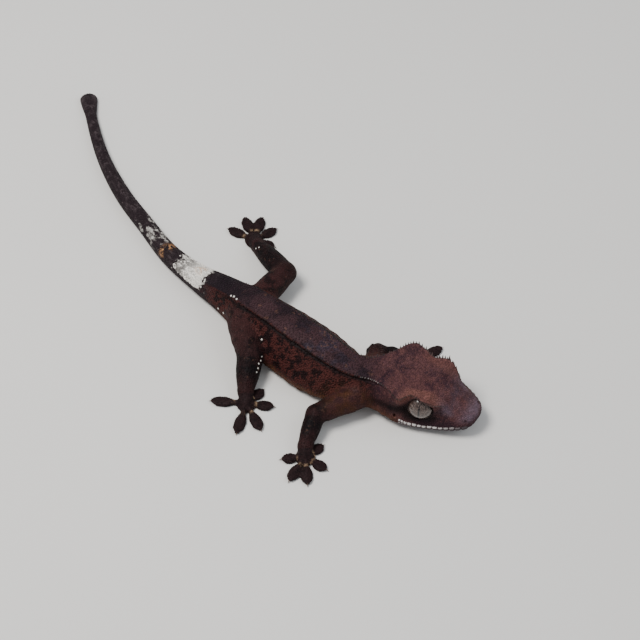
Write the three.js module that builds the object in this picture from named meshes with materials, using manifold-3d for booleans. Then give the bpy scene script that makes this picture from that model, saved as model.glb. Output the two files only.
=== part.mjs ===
// A crested gecko, life size, lying alert on a flat floor with its legs spread and its tail curved to its left.
// Millimetres, +Z up, +X along the trunk towards the head, +Y to the animal's left, floor at Z 0.
//
// The trunk, neck, head and tail are one loft along a path on the floor. Its place is given by s, the length
// along that path from the vent: positive towards the snout, negative towards the tip of the tail.
import * as THREE from 'three';
import { mergeVertices } from 'three/addons/utils/BufferGeometryUtils.js';
import Module from 'manifold-3d';

const wasm = await Module();
wasm.setup();

// Driving sizes
const snoutToVent = 72;
const tailLength = 82;
const gap = 0.3; // between nodes that touch
const floorSink = 0.15; // how far a resting form is pressed flat against the floor

// The path on the floor: the tail, then the trunk, the bend of the neck and the straight head
const tailPoints = [
  [-84.6, 29.6], [-75.7, 22.3], [-63.3, 14.1], [-50.3, 8], [-38.6, 4.3], [-26.9, 0.9], [-15, -0.2],
];
const trunkPoints = [
  [-8, -0.1], [4, -0.3], [16, -0.8], [27, -0.8], [31.5, -0.3], [34.8, 1], [38.2, 3.2], [41.5, 5.2], [45.2, 6.95],
  [49.5, 8.1], [54, 8.95], [62.4, 10.35],
];

// A curve without overshoot through [s, value] pairs
function profile(...pairs) {
  const n = pairs.length;
  const slope = (i) => (pairs[i + 1][1] - pairs[i][1]) / (pairs[i + 1][0] - pairs[i][0]);
  const tangents = pairs.map((_, i) => {
    if (i === 0) return slope(0);
    if (i === n - 1) return slope(n - 2);
    const before = slope(i - 1);
    const after = slope(i);
    return before * after <= 0 ? 0 : (2 * before * after) / (before + after);
  });
  return (s) => {
    if (s <= pairs[0][0]) return pairs[0][1];
    if (s >= pairs[n - 1][0]) return pairs[n - 1][1];
    let i = 0;
    while (s > pairs[i + 1][0]) i += 1;
    const span = pairs[i + 1][0] - pairs[i][0];
    const t = (s - pairs[i][0]) / span;
    const t2 = t * t;
    const t3 = t2 * t;
    return (
      (2 * t3 - 3 * t2 + 1) * pairs[i][1] + (t3 - 2 * t2 + t) * span * tangents[i] +
      (3 * t2 - 2 * t3) * pairs[i + 1][1] + (t3 - t2) * span * tangents[i + 1]
    );
  };
}

// Outline of the axial body, by s
const halfWidth = profile(
  [-82, 0.9], [-81.4, 1.75], [-80, 2.2], [-78, 2.0], [-73, 1.4], [-64, 1.5], [-45, 1.95], [-26, 2.25], [-12, 2.9],
  [0, 4.1], [7, 5.3], [14, 7.0], [22, 8.2], [29, 8.4], [36, 7.6], [41, 6.5], [44.5, 6.2], [47.5, 7.3], [50.5, 8.4],
  [54, 9.0], [57.5, 8.8], [61, 8.0], [65, 6.6], [68, 5.3], [70.4, 3.8], [71.5, 2.6], [72, 1.2],
);
const backHeight = profile(
  [-82, 1.1], [-81, 1.5], [-78, 1.9], [-73, 2.2], [-45, 3.5], [-26, 4.3], [-12, 5.6], [0, 8.2], [7, 9.8], [14, 10.9],
  [22, 11.6], [29, 11.8], [36, 11.2], [41, 10.5], [46, 10.1], [50, 10.5], [54, 10.9], [58, 11.2], [61, 11.2],
  [64, 10.1], [66, 8.8], [68.5, 7.5], [70.5, 6.7], [71.5, 6.0], [72, 5.0],
);
const bellyHeight = profile(
  [-82, 0.1], [-81, -floorSink], [-14, -floorSink], [-4, 0.2], [4, 0], [12, -floorSink], [33, -floorSink], [40, 0.5],
  [46, 1.1], [50, 1.2], [55, 1.1], [62, 1.2], [67, 1.6], [70, 2.1], [71.5, 3.0], [72, 4.0],
);
const widestShare = profile(
  [-12, 0.5], [4, 0.38], [16, 0.33], [38, 0.33], [44, 0.34], [50, 0.27], [54, 0.24], [61, 0.22], [67, 0.3], [72, 0.45],
);
const crestShare = profile(
  [-12, 0.64], [0, 0.58], [8, 0.5], [20, 0.4], [36, 0.41], [44.5, 0.43], [47.5, 0.5], [50, 0.62], [52, 0.78],
  [53.8, 0.86], [55.6, 0.75], [57.6, 0.63], [59.3, 0.7], [61, 0.8], [63, 0.77], [65, 0.58], [67, 0.52], [69, 0.5],
  [72, 0.6],
);
const crestDrop = profile(
  [-12, 0.24], [5, 0.12], [38, 0.08], [46, 0.04], [53, -0.05], [57, -0.01], [61, -0.05], [64, 0.02], [66, 0.1], [69, 0.2], [72, 0.26],
);
const upperShare = profile(
  [-12, 0.866], [5, 0.82], [20, 0.76], [38, 0.76], [47, 0.78], [52, 0.87], [56, 0.8], [60, 0.74], [64, 0.76], [68, 0.82],
  [72, 0.86],
);
const underShare = profile([-12, 0.74], [5, 0.84], [38, 0.84], [46, 0.76], [55, 0.82], [67, 0.78], [72, 0.72]);

// The head leans to the right, about a line at this height
const leanHeight = 5.5;
const lean = profile([38, 0], [51, THREE.MathUtils.degToRad(6)]);

// The path is two smooth curves that meet at the vent, measured by their length
const asCurve = (points) =>
  new THREE.CatmullRomCurve3(points.map(([x, y]) => new THREE.Vector3(x, y, 0)), false, 'centripetal');
const tailCurve = asCurve([...tailPoints, ...trunkPoints.slice(0, 2)]);
const trunkCurve = asCurve([tailPoints.at(-1), ...trunkPoints]);
const ventOnTail = lengthAt(tailCurve, trunkPoints[0][0]);
const ventOnTrunk = lengthAt(trunkCurve, trunkPoints[0][0]);

function lengthAt(curve, x) {
  const steps = 2000;
  const lengths = curve.getLengths(steps);
  const points = curve.getPoints(steps);
  return lengths[points.findIndex((p) => p.x >= x)];
}

function place(s) {
  const [curve, vent] = s < 0 ? [tailCurve, ventOnTail] : [trunkCurve, ventOnTrunk];
  const u = THREE.MathUtils.clamp((vent + s) / curve.getLength(), 0, 1);
  return { at: curve.getPointAt(u), heading: headingOf(curve.getTangentAt(u)) };
}

function headingOf(tangent) {
  return Math.atan2(tangent.y, tangent.x);
}

// A point beside the path: y to the left of it, z above the floor, then the lean of the head
function beside(s, y, z) {
  const { at, heading } = place(s);
  const angle = lean(s);
  const over = y * Math.cos(angle) - (z - leanHeight) * Math.sin(angle);
  const height = leanHeight + y * Math.sin(angle) + (z - leanHeight) * Math.cos(angle);
  return new THREE.Vector3(at.x - Math.sin(heading) * over, at.y + Math.cos(heading) * over, height);
}

// Half of the cross-section, from the middle of the back down to the middle of the belly
function halfSection(s, grow) {
  const half = halfWidth(s) + grow;
  const top = backHeight(s) + grow;
  const low = bellyHeight(s) - grow;
  const wide = low + (top - low) * widestShare(s);
  return [
    [0, top],
    [half * crestShare(s), top - (top - wide) * crestDrop(s)],
    [half * upperShare(s), wide + (top - wide) * 0.5],
    [half, wide],
    [half * underShare(s), low + (wide - low) * 0.25],
    [0, low],
  ];
}

// Smooth closed ring through the section, with steps[i] points from one control point to the next
function ring(s, steps, grow) {
  const half = halfSection(s, grow);
  const last = half.length - 1;
  const point = (i) => {
    if (i < 0) return [-half[-i][0], half[-i][1]];
    if (i > last) return [-half[2 * last - i][0], half[2 * last - i][1]];
    return half[i];
  };
  const left = [];
  for (let i = 0; i < last; i += 1) {
    for (let k = 0; k < steps[i]; k += 1) {
      left.push([0, 1].map((axis) => catmull(...[-1, 0, 1, 2].map((d) => point(i + d)[axis]), k / steps[i])));
    }
  }
  const right = left.slice(1).map(([y, z]) => [-y, z]).reverse();
  return [...left, half[last], ...right].map(([y, z]) => beside(s, y, Math.max(z, grow > 0 ? -1 : 0)));
}

function catmull(a, b, c, d, t) {
  return b + 0.5 * t * (c - a + t * (2 * a - 5 * b + 4 * c - d + t * (3 * (b - c) + d - a)));
}

// Closed skin over rings of equal length; each end closes on the middle of its ring
function skin(rings) {
  const around = rings[0].length;
  const middle = (points) => points.reduce((sum, p) => sum.add(p), new THREE.Vector3()).divideScalar(around);
  const points = [...rings.flat(), middle(rings[0]), middle(rings.at(-1))];
  const first = rings.length * around;
  const faces = [];
  for (let k = 0; k < around; k += 1) {
    const next = (k + 1) % around;
    for (let i = 0; i < rings.length - 1; i += 1) {
      const [a, b, c, d] = [i * around + k, i * around + next, (i + 1) * around + next, (i + 1) * around + k];
      faces.push(a, d, b, b, d, c);
    }
    const end = (rings.length - 1) * around;
    faces.push(first, k, next, first + 1, end + next, end + k);
  }
  const geometry = new THREE.BufferGeometry().setFromPoints(points);
  geometry.setIndex(faces);
  return geometry;
}

// Stations between two places, about as far apart as the pitch
function stations(from, to, pitch) {
  const count = Math.max(2, Math.round((to - from) / pitch));
  return Array.from({ length: count + 1 }, (_, i) => from + ((to - from) * i) / count);
}

function axial(places, steps, grow = 0) {
  return solid(skin(places.map((s) => ring(s, steps, grow))));
}

// Solids, for joining and cutting
function solid(geometry) {
  const bare = geometry.clone();
  for (const name of ['normal', 'uv']) bare.deleteAttribute(name);
  const merged = mergeVertices(bare, 1e-4);
  const made = new wasm.Manifold(new wasm.Mesh({
    numProp: 3,
    vertProperties: new Float32Array(merged.attributes.position.array),
    triVerts: new Uint32Array(merged.index.array),
  }));
  if (made.volume() >= 0) return made;
  const flipped = new Uint32Array(merged.index.array).reverse();
  return new wasm.Manifold(new wasm.Mesh({
    numProp: 3,
    vertProperties: new Float32Array(merged.attributes.position.array),
    triVerts: flipped,
  }));
}

const join = (...solids) => solids.flat().reduce((all, one) => all.add(one));
const byVolume = (one) => one.decompose().sort((a, b) => b.volume() - a.volume());

// A limb: a tapered tube with round ends and a swell of muscle between them
function limb(from, to, { start, end, swell = 0, around = 11, grow = 0 }) {
  const a = new THREE.Vector3(...from);
  const b = new THREE.Vector3(...to);
  const along = b.clone().sub(a);
  const length = along.length();
  along.normalize();
  const side = new THREE.Vector3(0, 0, 1).cross(along).normalize();
  const up = along.clone().cross(side);
  const r0 = start + grow;
  const r1 = end + grow;
  const reach = [
    ...[-0.96, -0.75, -0.4].map((t) => [t * r0, r0 * Math.sqrt(1 - t * t)]),
    ...[0, 0.2, 0.4, 0.6, 0.8, 1].map((t) => [t * length, r0 + (r1 - r0) * t + swell * Math.sin(Math.PI * t)]),
    ...[0.4, 0.75, 0.96].map((t) => [length + t * r1, r1 * Math.sqrt(1 - t * t)]),
  ];
  const rings = reach.map(([x, r]) =>
    Array.from({ length: around }, (_, k) => {
      const turn = (2 * Math.PI * k) / around;
      return a.clone().addScaledVector(along, x).addScaledVector(side, r * Math.cos(turn)).addScaledVector(up, r * Math.sin(turn));
    }));
  return solid(onFloor(skin(rings), grow));
}

function onFloor(geometry, grow = 0) {
  const spots = geometry.attributes.position;
  for (let i = 0; i < spots.count; i += 1) spots.setZ(i, Math.max(spots.getZ(i), grow > 0 ? -1 : 0));
  return geometry;
}

// Legs: joints as [x, y, z], the sizes of each length, and the foot's toes as [direction in degrees, reach]
const legs = {
  arm_right: {
    joints: [[37.0, -3.4, 4.8], [32.7, -13.2, 4.0], [35.5, -20.0, 1.9]],
    upper: { start: 2.9, end: 2.2, swell: 0.2 },
    lower: { start: 2.1, end: 1.6, swell: 0.3 },
    palm: [37.2, -22.0],
    toes: [[-133, 5.4], [-78, 7.6], [-45, 7.7], [5, 6.0], [80, 5.2]],
  },
  arm_left: {
    joints: [[36.0, 3.8, 5.6], [32.0, 9.2, 4.6], [36.6, 14.4, 1.9]],
    upper: { start: 3.0, end: 2.2, swell: 0.1 },
    lower: { start: 2.1, end: 1.6, swell: 0.2 },
    palm: [38.6, 16.2],
    toes: [[-14, 5.4], [26, 6.8], [74, 7.5], [129, 5.0], [172, 5.0]],
  },
  leg_right: {
    joints: [[0.5, -3.6, 5.0], [10.2, -10.8, 5.0], [14.6, -17.4, 2.1]],
    upper: { start: 3.4, end: 3.0, swell: 0.3 },
    lower: { start: 2.9, end: 1.9, swell: 0.4 },
    palm: [16.8, -19.6],
    toes: [[-146, 8.4], [-63, 8.8], [-24, 8.4], [34, 6.4], [88, 5.6]],
  },
  leg_left: {
    joints: [[0.3, 3.2, 5.0], [-0.5, 13.6, 4.8], [-12.6, 17.4, 2.1]],
    upper: { start: 3.1, end: 2.6, swell: 0.3 },
    lower: { start: 2.5, end: 1.8, swell: 0.4 },
    palm: [-15.8, 19.2],
    toes: [[-170, 7.6], [150, 8.0], [118, 7.8], [76, 6.6], [18, 5.4]],
  },
};

// A toe: a narrow root, a broad flat pad and a slim end with a claw, as [share of its reach, half width, height]
const toeForm = [
  [0.1, 0.75, 1.5], [0.36, 0.65, 1.3], [0.5, 1.05, 1.15], [0.64, 1.25, 1.05], [0.77, 0.98, 1.0], [0.88, 0.5, 0.95],
  [0.97, 0.3, 0.9],
];
const toeAround = 8;
const clawSize = { radius: 0.26, length: 0.9 };

function toe(palm, [degrees, reach]) {
  const turn = THREE.MathUtils.degToRad(degrees);
  const forward = new THREE.Vector3(Math.cos(turn), Math.sin(turn), 0);
  const side = new THREE.Vector3(-forward.y, forward.x, 0);
  const heart = new THREE.Vector3(palm[0], palm[1], 0);
  const rings = toeForm.map(([share, half, height]) =>
    Array.from({ length: toeAround }, (_, k) => {
      const angle = (2 * Math.PI * (k + 0.5)) / toeAround;
      const lift = share > 0.85 ? 0.28 : -floorSink;
      const z = lift + ((height - lift) * (1 + Math.sin(angle) / Math.sin(Math.PI * 3 / 8))) / 2;
      return heart.clone().addScaledVector(forward, share * reach)
        .addScaledVector(side, (half * Math.cos(angle)) / Math.cos(Math.PI / 8)).setZ(z);
    }));
  const claw = new THREE.ConeGeometry(clawSize.radius, clawSize.length, 4);
  claw.applyQuaternion(new THREE.Quaternion().setFromUnitVectors(
    new THREE.Vector3(0, 1, 0), forward.clone().setZ(-0.35).normalize()));
  const tip = heart.clone().addScaledVector(forward, reach + 0.05);
  claw.translate(tip.x, tip.y, 0.46);
  return join(solid(onFloor(skin(rings))), solid(onFloor(claw)));
}

function foot({ joints, palm, toes }) {
  const wrist = joints[2];
  const palmForm = limb(
    [wrist[0] * 0.7 + palm[0] * 0.3, wrist[1] * 0.7 + palm[1] * 0.3, 1.5], [palm[0], palm[1], 0.75],
    { start: 1.75, end: 1.55, around: 10 },
  );
  const web = onFloor(new THREE.SphereGeometry(1, 10, 6).scale(3.0, 3.0, 0.62).translate(palm[0], palm[1], 0.42));
  return join(palmForm, solid(web), toes.map((one) => toe(palm, one)));
}

// Spines of the crest: rows of small cones from the brow to the hips
const crestRows = [
  { from: 58.4, to: 65, pitch: 0.78, length: 0.9, out: 0.85, up: 0.5 },
  { from: 51, to: 57.4, pitch: 0.95, length: 0.75, out: 0.8, up: 0.6 },
  { from: 43.8, to: 49.8, pitch: 1.0, length: 0.6, out: 0.8, up: 0.6 },
  { from: 8, to: 42.2, pitch: 1.4, length: 0.5, out: 0.85, up: 0.5 },
];
const spineRadius = 0.4;

function crestPoint(s, side) {
  const [y, z] = halfSection(s, 0)[1];
  return beside(s, side * y, z);
}

function spines(rows, side) {
  return rows.flatMap(({ from, to, pitch, length, out, up }) =>
    stations(from, to, pitch).map((s, i) => {
      const reach = length * (1 + 0.22 * Math.sin(i * 2.4));
      const root = crestPoint(s, side);
      const direction = beside(s, side * out, up).sub(beside(s, 0, 0)).normalize();
      const sunk = 0.4;
      const cone = new THREE.ConeGeometry(spineRadius, reach + sunk, 5);
      cone.applyQuaternion(new THREE.Quaternion().setFromUnitVectors(new THREE.Vector3(0, 1, 0), direction));
      const middle = root.addScaledVector(direction, (reach - sunk) / 2);
      return solid(cone.translate(middle.x, middle.y, middle.z));
    }));
}

// Eyes: large, low under the brow, looking out, a little forwards and up
const eye = { s: 59.7, out: 4.5, z: 7.4, radii: [2.95, 3.2, 3.0], forward: 0.24, up: 0.24 };

// A form made about the eye's own axis, +X out of the head, moved to its place on one side
function atEye(geometry, side, outward) {
  const { heading } = place(eye.s);
  const turns = [
    new THREE.Matrix4().makeRotationAxis(new THREE.Vector3(Math.cos(heading), Math.sin(heading), 0), lean(eye.s)),
    new THREE.Matrix4().makeRotationZ(heading + side * (Math.PI / 2 - eye.forward)),
    new THREE.Matrix4().makeRotationY(-eye.up),
  ];
  const centre = beside(eye.s, side * eye.out, eye.z);
  const place3 = turns.reduce((all, one) => all.multiply(one), new THREE.Matrix4().makeTranslation(centre));
  return solid(geometry.clone().translate(outward, 0, 0).applyMatrix4(place3));
}

function eyeball(side, grow) {
  const ball = new THREE.SphereGeometry(1, 18, 12).rotateZ(Math.PI / 2);
  return atEye(ball.scale(...eye.radii.map((r) => r + grow)), side, 0);
}

// Raised rim round the socket
const eyeRim = (side) => atEye(new THREE.TorusGeometry(2.85, 0.42, 6, 20).rotateY(Math.PI / 2), side, 1.3);

// Hollow round the eye, which opens outwards and leaves the lids as its edge
const eyeHollow = (side) => atEye(new THREE.CylinderGeometry(4.3, 2.85, 3, 20).rotateZ(-Math.PI / 2), side, 2.95);

// Pits for the ears and nostrils
function pit(s, y, z, radii) {
  const centre = beside(s, y, z);
  const ball = new THREE.SphereGeometry(1, 10, 8).scale(...radii).rotateZ(place(s).heading);
  return solid(ball.translate(centre.x, centre.y, centre.z));
}

// The mouth: a thin band across the head along the line of the lips, down behind the corner of the jaw
const mouthLine = [[77, 3.9], [72, 3.8], [69, 3.5], [65, 3.1], [60.5, 2.95], [57, 3.2], [54.9, 3.7], [53.6, 2.7], [52.6, -2]];
const mouthCorner = 57;

function mouthBand() {
  const along = mouthLine.map(([s, z]) => new THREE.Vector3(s - mouthCorner, z - leanHeight, 0));
  const points = new THREE.CatmullRomCurve3(along, false, 'centripetal').getPoints(26);
  const normals = points.map((_, i) => {
    const step = points[Math.min(i + 1, points.length - 1)].clone().sub(points[Math.max(i - 1, 0)]).normalize();
    return new THREE.Vector2(-step.y, step.x).multiplyScalar(gap / 2);
  });
  const upper = points.map((p, i) => new THREE.Vector2(p.x, p.y).add(normals[i]));
  const lower = points.map((p, i) => new THREE.Vector2(p.x, p.y).sub(normals[i])).reverse();
  const shape = new THREE.Shape([...upper, ...lower]);
  const band = new THREE.ExtrudeGeometry(shape, { depth: 24, bevelEnabled: false, steps: 1 });
  band.translate(0, 0, -12).rotateX(Math.PI / 2 + lean(mouthCorner));
  const { at } = place(mouthCorner);
  const tip = place(snoutToVent).at;
  return solid(band.rotateZ(Math.atan2(tip.y - at.y, tip.x - at.x)).translate(at.x, at.y, leanHeight));
}

// The nodes
const tailCuts = [-54, -27, -3];
const neckCut = 42.8;
const headCut = 50.2;
const trunkSteps = [3, 3, 2, 2, 3];
const headSteps = [3, 4, 3, 3, 2];
const tailSteps = [1, 1, 2, 1, 1];
const half = gap / 2;
const sides = { left: 1, right: -1 };
const bothSides = Object.values(sides);

const grownBody = axial([...stations(-30, 40, 2.5), ...stations(41, 70, 1.4)], trunkSteps, gap);

function legNodes(name) {
  const { joints: [top, middle, bottom], upper, lower } = legs[name];
  const [first, second, third] = name.startsWith('arm') ? ['upper_arm', 'forearm', 'hand'] : ['thigh', 'shin', 'foot'];
  const side = name.split('_')[1];
  const thigh = limb(top, middle, upper).subtract(grownBody);
  const shin = limb(middle, bottom, lower).subtract(grownBody).subtract(limb(top, middle, { ...upper, grow: gap }));
  const end = foot(legs[name]).subtract(grownBody).subtract(limb(middle, bottom, { ...lower, grow: gap }));
  return { [`${first}_${side}`]: thigh, [`${second}_${side}`]: shin, [`${third}_${side}`]: end };
}

const headRings = [...stations(headCut + half, 68, 1.05), ...stations(68.7, 71.4, 0.8), 71.8, 72];
const sockets = bothSides.map((side) => eyeball(side, gap));
const wholeHead = join(
  axial(headRings, headSteps),
  bothSides.map(eyeRim),
  bothSides.flatMap((side) => spines(crestRows.slice(0, 2), side)),
);
const openHead = [
  ...sockets,
  ...bothSides.map(eyeHollow),
  ...bothSides.map((side) => pit(52.6, side * 8.5, 5.0, [0.55, 0.75, 0.85])),
  ...bothSides.map((side) => pit(70.4, side * 3.0, 5.5, [0.36, 0.42, 0.3])),
  mouthBand(),
].reduce((all, one) => all.subtract(one), wholeHead);
const [head, jaw] = byVolume(openHead);

const nodes = {
  head,
  jaw,
  eye_left: eyeball(sides.left, 0),
  eye_right: eyeball(sides.right, 0),
  neck: join(axial(stations(neckCut + half, headCut - half, 1.1), trunkSteps), bothSides.flatMap((side) => spines([crestRows[2]], side))),
  torso: join(axial(stations(tailCuts[2] + half, neckCut - half, 1.9), trunkSteps), bothSides.flatMap((side) => spines([crestRows[3]], side))),
  tail_base: axial(stations(tailCuts[1] + half, tailCuts[2] - half, 2.4), tailSteps),
  tail_middle: axial(stations(tailCuts[0] + half, tailCuts[1] - half, 2.7), tailSteps),
  tail_tip: axial([-tailLength, -81.7, -81, -80, ...stations(-79, tailCuts[0] - half, 2.3)], tailSteps),
  ...Object.assign({}, ...Object.keys(legs).map(legNodes)),
};

// Colours of the real skin and eyes
const skinColour = '#4a2f2b';
const materials = {
  head: skinColour, jaw: '#6b4a40', neck: skinColour, torso: '#40292a', eye: '#8d8074', tail: '#241d22', limb: '#3d2827',
};

function materialFor(name) {
  const key = Object.keys(materials).find((one) => name.startsWith(one)) ?? 'limb';
  const shiny = key === 'eye';
  return new THREE.MeshStandardMaterial({ color: materials[key], roughness: shiny ? 0.12 : 0.62, metalness: 0 });
}

const gecko = new THREE.Group();
for (const [name, body] of Object.entries(nodes)) {
  const { numProp, vertProperties, triVerts } = byVolume(body)[0].getMesh();
  const geometry = new THREE.BufferGeometry();
  geometry.setAttribute('position', new THREE.InterleavedBufferAttribute(new THREE.InterleavedBuffer(vertProperties, numProp), 3, 0));
  geometry.setIndex(new THREE.BufferAttribute(triVerts, 1));
  const mesh = new THREE.Mesh(geometry, materialFor(name));
  mesh.name = name;
  gecko.add(mesh);
}

// The origin is on the floor, under the middle of the whole animal
const box = new THREE.Box3().setFromObject(gecko);
const middle = box.getCenter(new THREE.Vector3());
gecko.position.set(-middle.x, -middle.y, -box.min.z);

export default gecko;
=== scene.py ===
import math
from types import SimpleNamespace

import bpy
import numpy as np
import openvdb
from mathutils import Matrix, Vector, noise


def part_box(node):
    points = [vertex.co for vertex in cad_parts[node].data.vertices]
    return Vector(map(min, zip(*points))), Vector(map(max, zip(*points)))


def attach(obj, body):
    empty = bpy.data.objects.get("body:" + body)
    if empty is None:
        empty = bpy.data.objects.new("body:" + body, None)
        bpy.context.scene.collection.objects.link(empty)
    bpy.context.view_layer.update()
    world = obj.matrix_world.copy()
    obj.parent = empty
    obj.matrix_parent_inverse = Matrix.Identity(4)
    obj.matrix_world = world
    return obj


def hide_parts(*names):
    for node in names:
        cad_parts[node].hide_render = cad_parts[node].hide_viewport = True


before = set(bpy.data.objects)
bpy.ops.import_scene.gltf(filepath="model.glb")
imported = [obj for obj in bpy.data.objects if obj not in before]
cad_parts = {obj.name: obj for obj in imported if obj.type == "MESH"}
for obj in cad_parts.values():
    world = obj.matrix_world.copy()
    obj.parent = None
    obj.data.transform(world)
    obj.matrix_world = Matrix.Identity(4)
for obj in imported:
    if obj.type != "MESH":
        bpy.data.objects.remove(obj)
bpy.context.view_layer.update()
rng = np.random.default_rng(7)
sides = {"left": 1, "right": -1}

# The animal is worked out in millimetres: +X along the trunk, +Y to its left, floor at Z 0.
# s is the length along its path from the vent, + to the snout and - to the tip of the tail.

body = {
    "snoutToVent": 72,
    "tailLength": 82,
    "ventX": -8,
    "leanFrom": 38,
    "leanTo": 51,
    "lean": math.radians(6),
    "leanHeight": 5.5,
    "tail": [(-84.6, 29.6), (-75.7, 22.3), (-63.3, 14.1), (-50.3, 8), (-38.6, 4.3), (-26.9, 0.9), (-15, -0.2)],
    "trunk": [
        (-8, -0.1), (4, -0.3), (16, -0.8), (27, -0.8), (31.5, -0.3), (34.8, 1), (38.2, 3.2), (41.5, 5.2),
        (45.2, 6.95), (49.5, 8.1), (54, 8.95), (62.4, 10.35),
    ],
    "halfWidth": [
        (-82, 0.9), (-81.4, 1.75), (-80, 2.2), (-78, 2.0), (-73, 1.4), (-64, 1.5), (-45, 1.95), (-26, 2.25),
        (-12, 2.9), (0, 4.1), (7, 5.3), (14, 7.0), (22, 8.2), (29, 8.4), (36, 7.6), (41, 6.5), (44.5, 6.2),
        (47.5, 7.3), (50.5, 8.4), (54, 9.0), (57.5, 8.8), (61, 8.0), (65, 6.6), (68, 5.3), (70.4, 3.8),
        (71.5, 2.6), (72, 1.2),
    ],
    "back": [
        (-82, 1.1), (-81, 1.5), (-78, 1.9), (-73, 2.2), (-45, 3.5), (-26, 4.3), (-12, 5.6), (0, 8.2), (7, 9.8),
        (14, 10.9), (22, 11.6), (29, 11.8), (36, 11.2), (41, 10.5), (46, 10.1), (50, 10.5), (54, 10.9),
        (58, 11.2), (61, 11.2), (64, 10.1), (66, 8.8), (68.5, 7.5), (70.5, 6.7), (71.5, 6.0), (72, 5.0),
    ],
    "belly": [
        (-82, 0.1), (-81, -0.15), (-14, -0.15), (-4, 0.2), (4, 0), (12, -0.15), (33, -0.15), (40, 0.5),
        (46, 1.1), (50, 1.2), (55, 1.1), (62, 1.2), (67, 1.6), (70, 2.1), (71.5, 3.0), (72, 4.0),
    ],
    "widest": [
        (-12, 0.5), (4, 0.38), (16, 0.33), (38, 0.33), (44, 0.34), (50, 0.27), (54, 0.24), (61, 0.22),
        (67, 0.3), (72, 0.45),
    ],
    "crest": [
        (-12, 0.64), (0, 0.58), (8, 0.5), (20, 0.4), (36, 0.41), (44.5, 0.43), (47.5, 0.5), (50, 0.62),
        (52, 0.78), (53.8, 0.86), (55.6, 0.75), (57.6, 0.63), (59.3, 0.7), (61, 0.8), (63, 0.77), (65, 0.58),
        (67, 0.52), (69, 0.5), (72, 0.6),
    ],
    "crestDrop": [
        (-12, 0.24), (5, 0.12), (38, 0.08), (46, 0.04), (53, -0.05), (57, -0.01), (61, -0.05), (64, 0.02),
        (66, 0.1), (69, 0.2), (72, 0.26),
    ],
    "upper": [
        (-12, 0.866), (5, 0.82), (20, 0.76), (38, 0.76), (47, 0.78), (52, 0.87), (56, 0.8), (60, 0.74),
        (64, 0.76), (68, 0.82), (72, 0.86),
    ],
    "under": [(-12, 0.74), (5, 0.84), (38, 0.84), (46, 0.76), (55, 0.82), (67, 0.78), (72, 0.72)],
}


def profile(pairs, at):  # a smooth curve through the pairs that never overshoots them
    x = np.array([p[0] for p in pairs], float)
    v = np.array([p[1] for p in pairs], float)
    slope = np.diff(v) / np.diff(x)
    tangent = np.zeros(len(x))
    tangent[0], tangent[-1] = slope[0], slope[-1]
    a, b = slope[:-1], slope[1:]
    tangent[1:-1] = np.where(a * b <= 0, 0, 2 * a * b / np.where(a + b == 0, 1, a + b))
    at = np.clip(np.asarray(at, float), x[0], x[-1])
    i = np.clip(np.searchsorted(x, at, side="right") - 1, 0, len(x) - 2)
    span = x[i + 1] - x[i]
    t = (at - x[i]) / span
    return (
        (2 * t**3 - 3 * t**2 + 1) * v[i] + (t**3 - 2 * t**2 + t) * span * tangent[i]
        + (3 * t**2 - 2 * t**3) * v[i + 1] + (t**3 - t**2) * span * tangent[i + 1]
    )


def smoothCurve(points, steps=300):  # centripetal curve through points on the floor
    p = np.array(points, float)
    p = np.vstack([2 * p[0] - p[1], p, 2 * p[-1] - p[-2]])
    t = np.linspace(0, 1, steps, endpoint=False)[:, None]
    parts = []
    for i in range(1, len(p) - 2):
        gaps = [max(np.linalg.norm(p[i + k] - p[i + k - 1]) ** 0.5, 1e-4) for k in range(3)]
        before, a, b, after = p[i - 1:i + 3]
        in0 = (a - before) / gaps[0] - (b - before) / (gaps[0] + gaps[1]) + (b - a) / gaps[1]
        in1 = (b - a) / gaps[1] - (after - a) / (gaps[1] + gaps[2]) + (after - b) / gaps[2]
        in0, in1 = in0 * gaps[1], in1 * gaps[1]
        parts.append(a + in0 * t + (3 * (b - a) - 2 * in0 - in1) * t**2 + (2 * (a - b) + in0 + in1) * t**3)
    return np.vstack([*parts, p[-2]])


def measured(points):  # with the length from the vent and the heading
    length = np.concatenate([[0], np.cumsum(np.linalg.norm(np.diff(points, axis=0), axis=1))])
    length -= np.interp(body["ventX"], points[:, 0], length)
    step = np.gradient(points, axis=0)
    return np.column_stack([length, points, np.arctan2(step[:, 1], step[:, 0])])


tailPath = measured(smoothCurve(body["tail"] + body["trunk"][:2]))
trunkPath = measured(smoothCurve(body["tail"][-1:] + body["trunk"]))
path = np.vstack([tailPath[tailPath[:, 0] < 0], trunkPath[trunkPath[:, 0] >= 0]])


def place(s):
    return [np.interp(s, path[:, 0], path[:, k]) for k in (1, 2, 3)]


def leanAt(s):
    return profile([(body["leanFrom"], 0), (body["leanTo"], body["lean"])], s)


def beside(s, y, z):  # a point beside the path, y to its left and z above the floor, with the lean of the head
    x0, y0, heading = place(s)
    angle = leanAt(s)
    over = y * np.cos(angle) - (z - body["leanHeight"]) * np.sin(angle)
    height = body["leanHeight"] + y * np.sin(angle) + (z - body["leanHeight"]) * np.cos(angle)
    return np.stack(np.broadcast_arrays(x0 - np.sin(heading) * over, y0 + np.cos(heading) * over, height), -1)


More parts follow.
